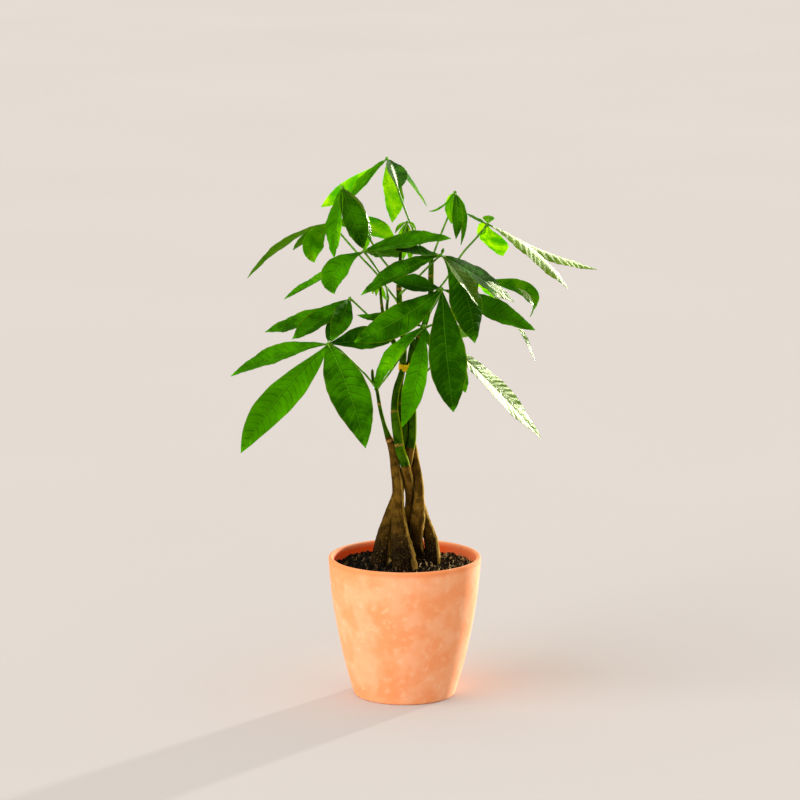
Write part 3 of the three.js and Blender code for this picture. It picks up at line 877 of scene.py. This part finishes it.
def makeTrunks():
    bark = smoothBark()
    lines = {side: trunkLine(strand["row"]) for side, strand in strands.items()}
    for number, (side, strand) in enumerate(strands.items()):
        skin = startSkin("straight", "age", "crevice")
        addStem(skin, strand["row"], strand["green"], strand["scars"], number)
        if "fork" in strand:
            addStem(skin, strand["fork"], strand["green"], (), number + 7)
        markCrevices(skin, [spot for other, line in lines.items() if other != side for spot in line])
        addPiece(f"trunk_{side}", meshFrom(f"trunk_{side}", skin), [bark], f"strand_{side}")


makeTrunks()
print("trunks made")

# the yellow tie, wound round the stems above the braid
tie = {
    "place": (406.3, 366.5, 0.7),
    "turns": 4.2,
    "steps": 90,
    "radius": 6.7,
    "height": 7.0,
    "cord": 0.95,
    "cordSides": 10,
    "knobGap": 2.6,
    "knobDepth": 0.16,
    "stainWidth": 1.6,
    "yellow": "#D89C00",
    "yellowPale": "#FFD41E",
}


def tieTree():
    # a cord wound in even turns, with a knob every few millimetres
    tree, names, add, given = newTree("wound tie", {
        "Carrier": "Geometry", "Turns": "Float", "Radius": "Float", "Height": "Float",
        "Cord Radius": "Float", "Knob Gap": "Float", "Knob Depth": "Float", "Centre": "Vector",
        "Material": "Material"}, "Tie")
    path = add("GeometryNodeCurveSpiral", {
        "Resolution": tie["steps"], "Rotations": given["Turns"], "Start Radius": given["Radius"],
        "End Radius": given["Radius"], "Height": given["Height"]})
    beat = add("divide", add("GeometryNodeSplineParameter", out="Length"), given["Knob Gap"])
    wave = add("sine", add("multiply", beat, math.tau))
    thickness = add("multiply_add", wave, given["Knob Depth"], 1)
    section = add("GeometryNodeCurvePrimitiveCircle", {
        "Resolution": tie["cordSides"], "Radius": given["Cord Radius"]})
    cord = add("GeometryNodeCurveToMesh", {
        "Curve": path, "Profile Curve": section, "Scale": thickness, "Fill Caps": True})
    moved = add("GeometryNodeTransform", {"Geometry": cord, "Translation": given["Centre"]})
    closeTree(add, given, moved)
    return tree, names


def softPlasticTie():
    # garden tie: soft extruded vinyl, satin, a little uneven in colour
    material, add = newMaterial("soft vinyl garden tie")
    uneven = add("noise", add("coordinates", out="Object"), 1000 / tie["stainWidth"], 3, 0.55)
    return surfaced(material, add, uneven, 0.6, 0.0006, {
        "Base Color": add("blend", add("ramp", uneven, 0.4, 0.55), tie["yellow"], tie["yellowPale"]),
        "Roughness": 0.6, "Specular IOR Level": 0.1})


def makeTie():
    material = softPlasticTie()
    carrier = addObject("carrier", bpy.data.meshes.new("carrier"))
    centre = place(tie["place"]) - Vector((0, 0, tie["height"] / 2))
    mesh = grown(carrier, *tieTree(), {
        "Turns": tie["turns"], "Radius": tie["radius"] / 1000, "Height": tie["height"] / 1000,
        "Cord Radius": tie["cord"] / 1000, "Knob Gap": tie["knobGap"] / 1000,
        "Knob Depth": tie["knobDepth"], "Centre": centre / 1000, "Material": material})
    bpy.data.objects.remove(carrier)
    mesh.polygons.foreach_set("use_smooth", [True] * len(mesh.polygons))
    addPiece("garden_tie", mesh, [material], "tie")
    print("garden_tie", len(mesh.polygons), "faces")


makeTie()
print("tie made")

# the leaves; a path runs down a stalk from the knuckle that its leaflets spring from. A leaflet has
# its tip, its middle, its width, its turn about its midrib in degrees, how fresh its green is, and
# how much light it lets through; and, where they aren't the usual ones, where its belly is and how
# far that leans to one side, how far its halves are folded up, how brown it is, and what part of
# it is polished: from a share of its length on, between two shares of its half width
leaves = {
    "leaf_top": {
        "path": [(387, 158.5, 30), (389.5, 162, 28), (398, 190, 22), (409, 220, 15),
                 (418, 241, 10), (429, 262, 8)],
        "leaflets": [
            ((321, 207, 62), (354.5, 185, 50), 17.5, 170, 0.55, 0.65, {"belly": 0.62}),
            ((347, 204, 14), (368, 178, 20), 20.5, 62, 0.35, 0.35),
            ((392, 222.5, 62), (391.5, 189.5, 50), 25.5, -140, 0.42, 0.55),
            ((398.5, 189.5, -55), (396, 171, -12), 19.5, -30, 0.1, 0.05,
             {"polished": (0.3, 0.12, 0.5)}),
            ((427, 206, 70), (406.5, 178.5, 55), 15, -72, 0.42, 0.6),
        ],
    },
    "leaf_upper_left": {
        "path": [(342, 187, -10), (346, 193, -10), (366, 232, -14), (380, 256, -15),
                 (389, 268, -11), (398, 284, -2)],
        "leaflets": [
            ((334, 258, -45), (336.5, 219.5, -38), 23.5, 50, 0.5, 0.36),
            ((364, 249, -34), (352, 216, -36), 28, -36, 0.14, 0.03),
            ((371.5, 239, 3), (360, 211, -2), 18.5, -70, 0.3, 0.1, {"polished": (0, -1, 1)}),
            ((365, 251, 20), (359.5, 219.5, 14), 19.5, -150, 0.42, 0.5),
        ],
    },
    "leaf_far_left": {
        "path": [(331, 222.5, 25), (334, 226, 24), (345, 239, 20), (360, 256, 14),
                 (376, 273, 6), (388, 289, 0), (398, 302, -2)],
        "leaflets": [
            ((247.5, 278, 10), (287, 242.5, 22), 16, 62, 0.24, 0.1, {"olive": 1}),
            ((293, 250, 60), (310.5, 235.5, 48), 12.5, 125, 0.2, 0.15, {"olive": 1}),
            ((314.5, 262.5, 0), (313.5, 242, 5), 21, -12, 0.38, 0.42),
            ((396, 240, 60), (365, 226.5, 50), 26.5, -130, 0.45, 0.55),
        ],
    },
    "leaf_middle_left": {
        "path": [(364, 251, -20), (366, 254, -19), (372, 262, -16), (379, 272, -12),
                 (386, 286, -8), (388, 299, -5)],
        "leaflets": [
            ((334.5, 294, -45), (337, 270.5, -36), 27, 28, 0.3, 0.06),
            ((399, 257, 25), (383.5, 253.5, 6), 24, -118, 0.5, 0.25, {"olive": 1}),
            ((451, 238.5, -60), (407, 243, -40), 34, -62, 0.22, 0.05, {"belly": 0.46}),
            ((284, 299, 10), (321.5, 278.5, 4), 27.5, 74, 0.42, 0.18),
        ],
    },
    "leaf_centre_upper": {
        "path": [(441, 255, -50), (438.5, 257, -48), (431, 264, -38), (420, 275, -24),
                 (410, 285, -12), (400, 294, -3)],
        "leaflets": [
            ((394, 249, -45), (418.5, 253, -50), 23.5, 66, 0.06, 0.03),
            ((361, 295, -65), (404.5, 270, -62), 28.5, 55, 0.06, 0.02),
            ((475, 343, -75), (464.5, 290, -80), 35, -30, 0.02, 0.02, {"belly": 0.64, "fold": -0.28}),
            ((478.5, 306, -92), (461.5, 278.5, -80), 23.5, -58, 0.04, 0.02,
             {"olive": 1, "polished": (0.55, 0.4, 1)}),
            ((514, 302, -30), (476, 275, -42), 29, -58, 0.08, 0.03,
             {"fold": 0.06, "polished": (0.66, -1, 1)}),
            ((443.5, 248, -46), (442.5, 251.5, -49), 3, 0, 0.2, 0.2),
        ],
    },
    "leaf_centre_lower": {
        "path": [(442, 289, -45), (441, 292, -43), (438, 299, -30), (434, 306, -10), (430, 312, 6)],
        "leaflets": [
            ((390, 279, -36), (417, 286, -42), 28.5, 55, 0.1, 0.03),
            ((354, 342, -60), (403, 317, -60), 31.5, 20, 0.13, 0.02, {"fold": -0.12}),
            ((453.5, 412, -65), (446.5, 352, -72), 36.5, -8, 0.01, 0.02),
            ((535, 330, -20), (488.5, 309, -34), 28, -43, 0.3, 0.04),
        ],
    },
    "leaf_lower_left": {
        "path": [(328, 344, -40), (331, 345, -39), (340, 350, -34), (352, 361, -22),
                 (364, 373, -10), (376.5, 388, -2)],
        "leaflets": [
            ((231, 376, -35), (282, 354, -42), 26.5, 52, 0.28, 0.05),
            ((241, 453, -80), (283.5, 391.5, -68), 33, -15, 0.55, 0.03, {"belly": 0.57, "lean": 0.1}),
            ((365.5, 448, -70), (349, 391, -66), 39, 5, 0.16, 0.03, {"belly": 0.5, "lean": -0.04}),
            ((397, 336, -20), (363.5, 340, -30), 30, -40, 0.1, 0.03),
            ((347, 329, -46), (338, 335, -43), 9, -60, 0.6, 0.3),
        ],
    },
    "leaf_left": {
        "path": [(350, 298.5, -10), (352.5, 300.5, -9), (361, 308.5, -6), (371.5, 318.5, -3),
                 (380, 327, 0), (391, 336, 3)],
        "leaflets": [
            ((265, 332, -5), (308, 320, -8), 28, 60, 0.15, 0.06, {"belly": 0.6}),
            ((292, 339, -35), (322.5, 319, -27), 29, 50, 0.06, 0.03),
            ((330.5, 339, -66), (342.5, 316.5, -37), 20, -15, 0.12, 0.04),
            ((328, 341.5, -18), (336, 323, -16), 16, 25, 0.1, 0.03),
        ],
    },
    "leaf_low_centre": {
        "path": [(424, 326, -35), (422, 329, -34), (411, 341, -28), (399, 359, -18),
                 (388, 375, -8), (377.5, 388, -2)],
        "leaflets": [
            ((374.5, 390, -45), (395, 354.5, -45), 22.5, 50, 0.7, 0.25),
            ((402, 427, -50), (417, 377.5, -52), 22.5, 20, 0.45, 0.08),
            ((429, 346, -42), (427, 336, -40), 6, 0, 0.4, 0.1),
            ((426, 313, -30), (425.5, 319, -33), 5, 0, 0.5, 0.3),
            ((357, 315, -32), (391.5, 322, -38), 21.5, 60, 0.15, 0.05),
        ],
    },
    "leaf_low_right": {
        "path": [(448, 343, 14), (446, 347, 14), (438, 358, 13), (428, 370, 12),
                 (418, 379, 10), (408, 386, 7)],
        "leaflets": [
            ((541, 438, 20), (493.5, 386.5, 14), 34, -60, 0.45, 0.05,
             {"fold": 0.1, "polished": (0, -1, 1)}),
            ((465.5, 392.5, -5), (458, 368, -2), 20, 30, 0.4, 0.3),
            ((449, 402, 36), (448, 372, 30), 20, 0, 0.2, 0.12),
            ((471, 329, 84), (463, 329, 50), 20, 150, 0.45, 0.5),
        ],
    },
    "leaf_right": {
        "path": [(488, 224, 40), (486, 226, 39), (478, 236, 36), (462, 254, 28),
                 (445, 281, 16), (431, 297, 8)],
        "leaflets": [
            ((568, 288.5, 10), (532, 250, 22), 26, -66, 0.4, 0.05,
             {"fold": -0.28, "polished": (0, -1, 1)}),
            ((597, 269, 60), (543.5, 251, 55), 21.5, -68, 0.4, 0.05,
             {"fold": -0.33, "polished": (0, -1, 1)}),
            ((503, 256, 95), (491.5, 241, 75), 29.5, -135, 0.5, 0.78, {"belly": 0.62}),
            ((477.5, 235, 72), (481.5, 228.5, 58), 11, -165, 0.5, 0.7),
            ((489, 216, 100), (488.5, 217, 70), 12, 170, 0.5, 0.8),
            ((466.5, 213, 60), (476, 219.5, 52), 11.5, 75, 0.3, 0.3),
        ],
    },
    "leaf_right_top": {
        "path": [(455, 192.5, 20), (454.5, 196, 19), (449, 214, 15), (441, 234, 11), (432, 258, 8)],
        "leaflets": [
            ((451, 223, 0), (450, 204.5, 4), 11, 50, 0.5, 0.35),
            ((452, 224, 34), (450, 205, 30), 12.5, -145, 0.6, 0.6),
            ((456, 239, -10), (457.5, 214, -8), 11, -10, 0.12, 0.08),
            ((461, 229, 36), (460, 208, 34), 12, -140, 0.6, 0.55),
            ((461, 245, 12), (463, 214.5, 12), 9, -45, 0.3, 0.3),
            ((429, 211, 25), (441.5, 207.5, 24), 6, 70, 0.5, 0.4),
        ],
    },
    "leaf_right_back": {
        "path": [(479, 281, 30), (476, 283, 29), (466, 291, 24), (452, 308, 16),
                 (441, 320, 10), (425, 328, 5)],
        "leaflets": [
            ((493, 298, 60), (486, 287.5, 48), 19.5, -125, 0.5, 0.85),
            ((474, 292, 40), (475, 286, 36), 7.5, -155, 0.45, 0.6),
            ((497, 292, 42), (488, 285.5, 38), 6.5, -55, 0.3, 0.3),
            ((535.5, 362, 10), (511.5, 318, 18), 12.5, -70, 0.4, 0.2, {"polished": (0, -1, 1)}),
            ((530, 317, 50), (526, 291.5, 50), 19.5, -35, 0.4, 0.28, {"polished": (0.4, -0.1, 0.8)}),
        ],
    },
    "young_leaf_top": {
        "path": [(407, 222, 8), (406, 226, 8), (403, 238, 6), (401, 252, 3)],
        "young": True,
        "leaflets": [
            ((395, 233, 4), (400.5, 225.5, 5), 5, 40, 0.7, 0.5),
            ((398, 257, 36), (401, 238, 28), 10, -150, 0.5, 0.45),
            ((403, 260, 28), (404.5, 240, 20), 11, -145, 0.6, 0.5),
            ((410, 260, 18), (409, 241, 18), 13.5, -140, 0.5, 0.45),
            ((416, 231, 10), (412, 225, 10), 7, -60, 0.7, 0.5),
        ],
    },
    "young_leaf_low": {
        "path": [(379.5, 280, 0), (379.7, 282, 0), (380, 285, 0)],
        "young": True,
        "leaflets": [
            ((372.5, 294, -6), (375, 286.5, -5), 5, 35, 0.7, 0.5),
            ((376, 296, -9), (377.5, 287, -7), 5.5, 30, 0.6, 0.5),
            ((386, 300, 4), (382.5, 291, 2), 5.5, 40, 0.7, 0.5),
        ],
    },
}
blade = {
    "thickness": 0.34,
    "marginThinning": 0.25,
    "usual": {"belly": 0.56, "lean": 0, "fold": 0.22, "olive": 0, "polished": (2, -1, 1)},
    "foldRounding": 1.25,
    "fullness": 0.9,
    "endHalfWidth": 0.5,
    "fullWidth": 24,
    "root": 1.2,
    "veinGap": 7.5,
    "fewestVeins": 5,
    "rowsPerVein": 4,
    "veinSweep": 0.7,
    "veinArch": 0.6,
    "veinDrift": 0.4,
    "driftRise": 3,
    "quilt": 0.65,
    "waxyQuilt": 1.5,
    "quiltRounding": 0.7,
    "quiltFade": 0.45,
    "narrow": 5,
    "ripple": 0.65,
    "waviness": 0.012,
    "cycles": (1.6, 2.6),
    "beats": {"drift": 0.8, "ripple": 1, "fineRipple": 2.3, "margin": 3.1},
    "raggedness": 0.05,
    "ribDepth": 0.75,
    "ribHalfWidth": 0.9,
    "ribTaper": 0.75,
    "ribSunk": 0.25,
    "columns": (0, 0.05, 0.15, 0.3, 0.46, 0.64, 0.82, 1),
    "shadeWidth": 22,
    "clearWidth": 14,
    "grainWidth": 3,
    "netsPerMetre": 520,
    "deep": "#164400",
    "fresh": "#58B800",
    "waxyDeep": "#2C4A00",
    "waxyFresh": "#86B400",
    "youngDeep": "#3C8600",
    "youngFresh": "#78BC08",
    "rib": "#62A81E",
    "veinDark": "#0C2C00",
    "veinPale": "#5A8E18",
    "underside": "#3E7A0A",
    "undersideRib": "#7E9E34",
    "glow": "#D2F400",
    "glowDeep": "#7EC400",
    "gleam": "#48B81C",
    "bright": "#C0F050",
    "olive": "#445A0C",
    "margin": "#8E8A1C",
}
stalk = {
    "sides": 12,
    "stepsEach": 7,
    "radius": 1.1,
    "youngRadius": 0.85,
    "slimness": 0.92,
    "swelling": 0.5,
    "swellingLength": 3.5,
    "knuckle": 1.85,
    "youngKnuckle": 1.4,
    "knuckleSides": 14,
    "lobes": 5,
    "lobeDepth": 0.08,
    "shortLength": 5,
    "shortReach": 0.3,
    "shortWidth": 14,
    "shortSides": 8,
    "shortSteps": 5,
    "shortTaper": 0.5,
    "streakWidth": 4,
    "green": "#3E7A08",
    "greenPale": "#74A820",
}


def halfWidth(along, width, belly):
    power = math.log(0.5) / math.log(belly)
    swelling = max(math.sin(math.pi * along ** power), 0) ** blade["fullness"]
    return max(width / 2 * swelling, blade["endHalfWidth"])


def bladeLine(hub, leaflet):
    # the arched midrib as three points, and its sideways direction
    start, end = place(hub), place(leaflet["tip"])
    bend = place(leaflet["middle"]) * 2 - (start + end) / 2
    chord = (end - start).normalized()
    across = viewAhead.cross(chord).normalized()
    return start, bend, end, Quaternion(chord, math.radians(leaflet["turn"])) @ across


def arched(start, bend, end, along):
    rest = 1 - along
    return start * rest * rest + bend * 2 * rest * along + end * along * along


def addBlade(skin, hub, leaflet, dice):
    width, fold, shine = leaflet["width"], leaflet["fold"], leaflet["polished"]
    start, bend, end, across = bladeLine(hub, leaflet)
    length = lengthsAlong([arched(start, bend, end, i / 20) for i in range(21)])[-1]
    veins = max(round(length / blade["veinGap"]), blade["fewestVeins"])
    rows = veins * blade["rowsPerVein"]
    root = blade["root"] / (2 * (bend - start).length)
    sweep = blade["veinSweep"] * width / 2 / length
    quilt = blade["quilt"] * (blade["waxyQuilt"] if shine[0] == 0 else 1)
    columns = [-u for u in reversed(blade["columns"][1:])] + list(blade["columns"])
    size = min(width / blade["fullWidth"], 1)
    phases = [dice.uniform(0, math.tau) for _ in range(4)]
    cycles = dice.uniform(*blade["cycles"])

    def wave(kind, share, phase):
        return math.sin(math.tau * cycles * blade["beats"][kind] * share + phases[phase])

    def bladePoint(share, u):
        # where a vein's row crosses a column, the blade's upward direction there, the depth of
        # the midrib, and the marks that the material reads
        reach, way = abs(u), 0 if u < 0 else 1
        hump = math.sin(math.pi * share)
        drift = blade["veinDrift"] / veins * wave("drift", share, 3 - way)
        drift *= min(reach * blade["driftRise"], 1) * hump
        swept = sweep * ((1 - blade["veinArch"]) * reach + blade["veinArch"] * reach * reach) * hump
        along = root + (1 - root) * clamped(share + drift + swept)
        tangent = ((bend - start) * (1 - along) + (end - bend) * along).normalized()
        side = (across - tangent * across.dot(tangent)).normalized()
        upper = side.cross(tangent).normalized()
        lean = leaflet["lean"] if u > 0 else -leaflet["lean"]
        half = halfWidth(along, width, leaflet["belly"] + lean)
        # the blade rises from the midrib, swells between its veins and ripples at its margin
        rise = fold * half * reach ** blade["foldRounding"]
        count = share * veins
        between = math.sin(math.pi * (count + (0.5 if u < 0 else 0))) ** 2
        low = size * min(half / blade["narrow"], 1)
        edgeward = reach ** 0.5 * (1 - blade["quiltFade"] * reach ** 3)
        rise += quilt * low * between ** blade["quiltRounding"] * edgeward
        ripple = wave("ripple", share, way) + 0.5 * wave("fineRipple", share, way + 2)
        rise += blade["ripple"] * low * ripple * reach ** 2
        half *= 1 + blade["waviness"] * wave("margin", share, way + 1) * reach
        rib = math.exp(-(u * half / blade["ribHalfWidth"]) ** 2) * blade["ribDepth"] * size
        marks = {"blade": (u * half, count, reach), "thin": (leaflet["thin"], leaflet["olive"], 0)}
        point = arched(start, bend, end, along) + side * u * half + upper * rise
        return point, upper, rib * (1 - blade["ribTaper"] * share), marks

    top, bottom = [], []
    for row in range(rows + 1):
        share = row / rows
        top.append([])
        bottom.append([])
        for u in columns:
            point, upper, rib, marks = bladePoint(share, u)
            thick = blade["thickness"] * (1 - blade["marginThinning"] * abs(u)) + rib
            for under, line, depth in ((0, top, rib * blade["ribSunk"]), (1, bottom, thick)):
                marks["leaf"] = (under, leaflet["fresh"], share)
                line[row].append(addPoint(skin, point - upper * depth, **marks))
    last = len(columns) - 1
    for row in range(rows):
        here, after, below, belowAfter = top[row], top[row + 1], bottom[row], bottom[row + 1]
        for k in range(last):
            middle = (columns[k] + columns[k + 1]) / 2
            # the polished part starts at a ragged line
            started = row / rows + blade["raggedness"] * math.sin(5 * k) >= shine[0]
            slot = 2 if started and shine[1] < middle < shine[2] else 0
            addFace(skin, (here[k], here[k + 1], after[k + 1], after[k]), slot)
            addFace(skin, (below[k], belowAfter[k], belowAfter[k + 1], below[k + 1]), slot)
        addFace(skin, (here[0], after[0], belowAfter[0], below[0]), slot)
        addFace(skin, (here[last], below[last], belowAfter[last], after[last]), slot)
    for k in range(last):
        addFace(skin, (top[0][k], bottom[0][k], bottom[0][k + 1], top[0][k + 1]), slot)
        addFace(skin, (top[rows][k], top[rows][k + 1], bottom[rows][k + 1], bottom[rows][k]), slot)


def addShortStalk(skin, hub, leaflet, radius):
    start, bend, end, _ = bladeLine(hub, leaflet)
    reach = min(stalk["shortLength"] / (2 * (bend - start).length), stalk["shortReach"])
    steps = stalk["shortSteps"]
    centres = [arched(start, bend, end, reach * i / steps) for i in range(steps + 1)]
    thick = radius * min(leaflet["width"] / stalk["shortWidth"], 1)
    addTube(skin, centres, lambda i, angle: thick * (1 - stalk["shortTaper"] * i / steps),
            stalk["shortSides"], slot=1)


def addStalk(skin, path, radius, knuckle):
    points = [place(spot) for spot in path]
    steps = stalk["stepsEach"] * (len(points) - 1)
    centres = [bent(points, i * (len(points) - 1) / steps) for i in range(steps + 1)]
    lengths = lengthsAlong(centres)

    def radiusAt(i, angle):
        # a stalk swells where it joins its leaflets and its stem
        toEnd = min(lengths[i], lengths[-1] - lengths[i])
        swelling = stalk["swelling"] * math.exp(-(toEnd / stalk["swellingLength"]) ** 2)
        return radius * (stalk["slimness"] + swelling)
    addTube(skin, centres, radiusAt, stalk["sides"], slot=1)
    # the knuckle that the leaflets spring from is lobed
    axis = (centres[0] - centres[1]).normalized()
    tilts = [math.radians(tilt) for tilt in range(-80, 81, 20)]

    def lobed(i, angle):
        lobe = 1 + stalk["lobeDepth"] * math.cos(stalk["lobes"] * angle)
        return knuckle * math.cos(tilts[i]) * lobe
    centres = [points[0] + axis * knuckle * math.sin(tilt) for tilt in tilts]
    addTube(skin, centres, lobed, stalk["knuckleSides"], slot=1)


def leafBlade(name, deep, fresh, gleam, roughness, gloss):
    # a glossy, leathery blade: deep green above, paler below, with light ribs that branch like
    # a feather; the light that passes through it comes out a bright yellow green
    material, add = newMaterial(name)
    where = add("coordinates", out="Object")
    (x, y, reach), (under, freshness, share), (thin, olive, _) = (
        add("split", add("attribute", out="Vector", attribute_name=mark)).node.outputs
        for mark in ("blade", "leaf", "thin"))
    patchiness = add("noise", where, 1000 / blade["clearWidth"], 2, 0.55)
    broad = add("noise", where, 1000 / blade["shadeWidth"], 4, 0.55)
    fine = add("noise", where, 1000 / blade["grainWidth"], 3, 0.55)
    # side veins leave the midrib in turn, left and right, and show less in places and at the margin
    alongVeins = add("add", y, add("multiply", add("less_than", x, 0), 0.5))
    clear = add("multiply", add("ramp", reach, 0.55, 1, 1, 0.2),
                add("ramp", patchiness, 0.3, 0.65, 0.35, 1))
    vein = add("multiply", add("ramp", add("pingpong", alongVeins, 0.5), 0.08, 0.025), clear)
    # painted highlight: each side vein has a pale shoulder on the side towards the tip, as if lit from
    # that side
    past = add("fract", alongVeins)
    shoulder = add("multiply", add("ramp", past, 0.3, 0.1), add("ramp", past, 0.03, 0.09))
    shoulder = add("multiply", shoulder, clear)
    # the midrib narrows towards the tip, and has a dark groove on one side
    fromRib = add("divide", x, add("ramp", share, 0, 1, 0.85, 0.4))
    rib = add("ramp", add("absolute", fromRib), 1.0, 0.4)
    groove = add("ramp", add("absolute", add("add", fromRib, 1.1)), 0.8, 0.2)
    # the net between the side veins is finer than shows, so it is drawn about 2 mm wide
    net = add("ShaderNodeTexVoronoi", where, blade["netsPerMetre"], feature="DISTANCE_TO_EDGE")
    net = add("ramp", net, 0.09, 0.02)
    # the very tip is the youngest part, and the lightest
    patchy = add("add", freshness, add("ramp", broad, 0.35, 0.65, -0.14, 0.14))
    patchy = add("add", patchy, add("ramp", share, 0.92, 1, 0, 0.6))
    below = add("blend", add("maximum", rib, add("multiply", vein, 0.6)),
                blade["underside"], blade["undersideRib"])
    tint = layered(
        add, blade[deep],
        (patchy, blade[fresh]),
        (add("multiply", olive, add("ramp", broad, 0.35, 0.6, 0.3, 0.7)), blade["olive"]),
        (add("ramp", reach, 0.93, 1, 0, 0.4), blade["margin"]),
        (add("multiply", net, 0.12), blade["veinPale"]),
        (add("multiply", shoulder, 0.18), blade["veinPale"]),
        (add("multiply", vein, 0.65), blade["veinDark"]),
        (add("multiply", groove, 0.6), blade["veinDark"]),
        (add("multiply", rib, 0.26), blade["rib"]),
        (under, below),
    )
    relief = add("add", add("multiply", vein, -1), add("multiply", net, -0.25))
    relief = add("add", relief, add("multiply", fine, 0.5))
    bump = add("ShaderNodeBump", {"Strength": 0.55, "Distance": 0.0004, "Height": relief})
    front = add("ShaderNodeBsdfPrincipled", {
        "Base Color": tint, "Roughness": add("ramp", under, 0, 1, roughness, 0.65), "IOR": 1.45,
        "Specular IOR Level": gloss, "Specular Tint": blade[gleam], "Normal": bump})
    glow = add("blend", add("ramp", broad, 0.35, 0.7), blade["glowDeep"], blade["glow"])
    glow = add("blend", add("multiply", vein, 0.4), glow, blade["glowDeep"])
    behind = add("ShaderNodeBsdfTranslucent", glow, bump)
    # the blade is thinnest at its margin, which lights up first
    thin = add("add", thin, add("ramp", reach, 0.88, 1, 0, 0.2))
    add("ShaderNodeOutputMaterial", {"Surface": add("ShaderNodeMixShader", thin, front, behind)})
    return material


def leafStalk():
    # fresh green stalk, waxy and faintly streaked
    material, add = newMaterial("fresh green stalk")
    streaks = add("noise", add("coordinates", out="Object"), 1000 / stalk["streakWidth"], 4, 0.55)
    return surfaced(material, add, streaks, 0.25, 0.0003, {
        "Base Color": add("blend", add("ramp", streaks, 0.35, 0.65), stalk["green"], stalk["greenPale"]),
        "Roughness": 0.5, "Specular IOR Level": 0.15})


def leafletFrom(row):
    named = dict(zip(("tip", "middle", "width", "turn", "fresh", "thin"), row))
    return {**blade["usual"], **named, **(row[6] if len(row) > 6 else {})}


def makeLeaves():
    plain = leafBlade("satin leaf blade", "deep", "fresh", "gleam", 0.5, 0.006)
    # the polished parts are smoother, and their paler, yellower green is partly painted sheen
    waxy = leafBlade("polished leaf blade", "waxyDeep", "waxyFresh", "bright", 0.3, 0.2)
    tender = leafBlade("young leaf blade", "youngDeep", "youngFresh", "gleam", 0.5, 0.06)
    green = leafStalk()
    for number, (name, leaf) in enumerate(leaves.items()):
        dice = random.Random(40 + number)
        young = "young" in leaf
        radius = stalk["youngRadius" if young else "radius"]
        skin = startSkin("blade", "leaf", "thin")
        addStalk(skin, leaf["path"], radius, stalk["youngKnuckle" if young else "knuckle"])
        for row in leaf["leaflets"]:
            leaflet = leafletFrom(row)
            addShortStalk(skin, leaf["path"][0], leaflet, radius)
            addBlade(skin, leaf["path"][0], leaflet, dice)
        mesh = meshFrom("green_" + name, skin)
        materials = [tender, green] if young else [plain, green, waxy]
        piece = addPiece("green_" + name, mesh, materials, name)
        if name in surroundings["sheenLeaves"]:
            bpy.data.collections["leaves with a sheen"].objects.link(piece)


makeLeaves()
print("leaves made")
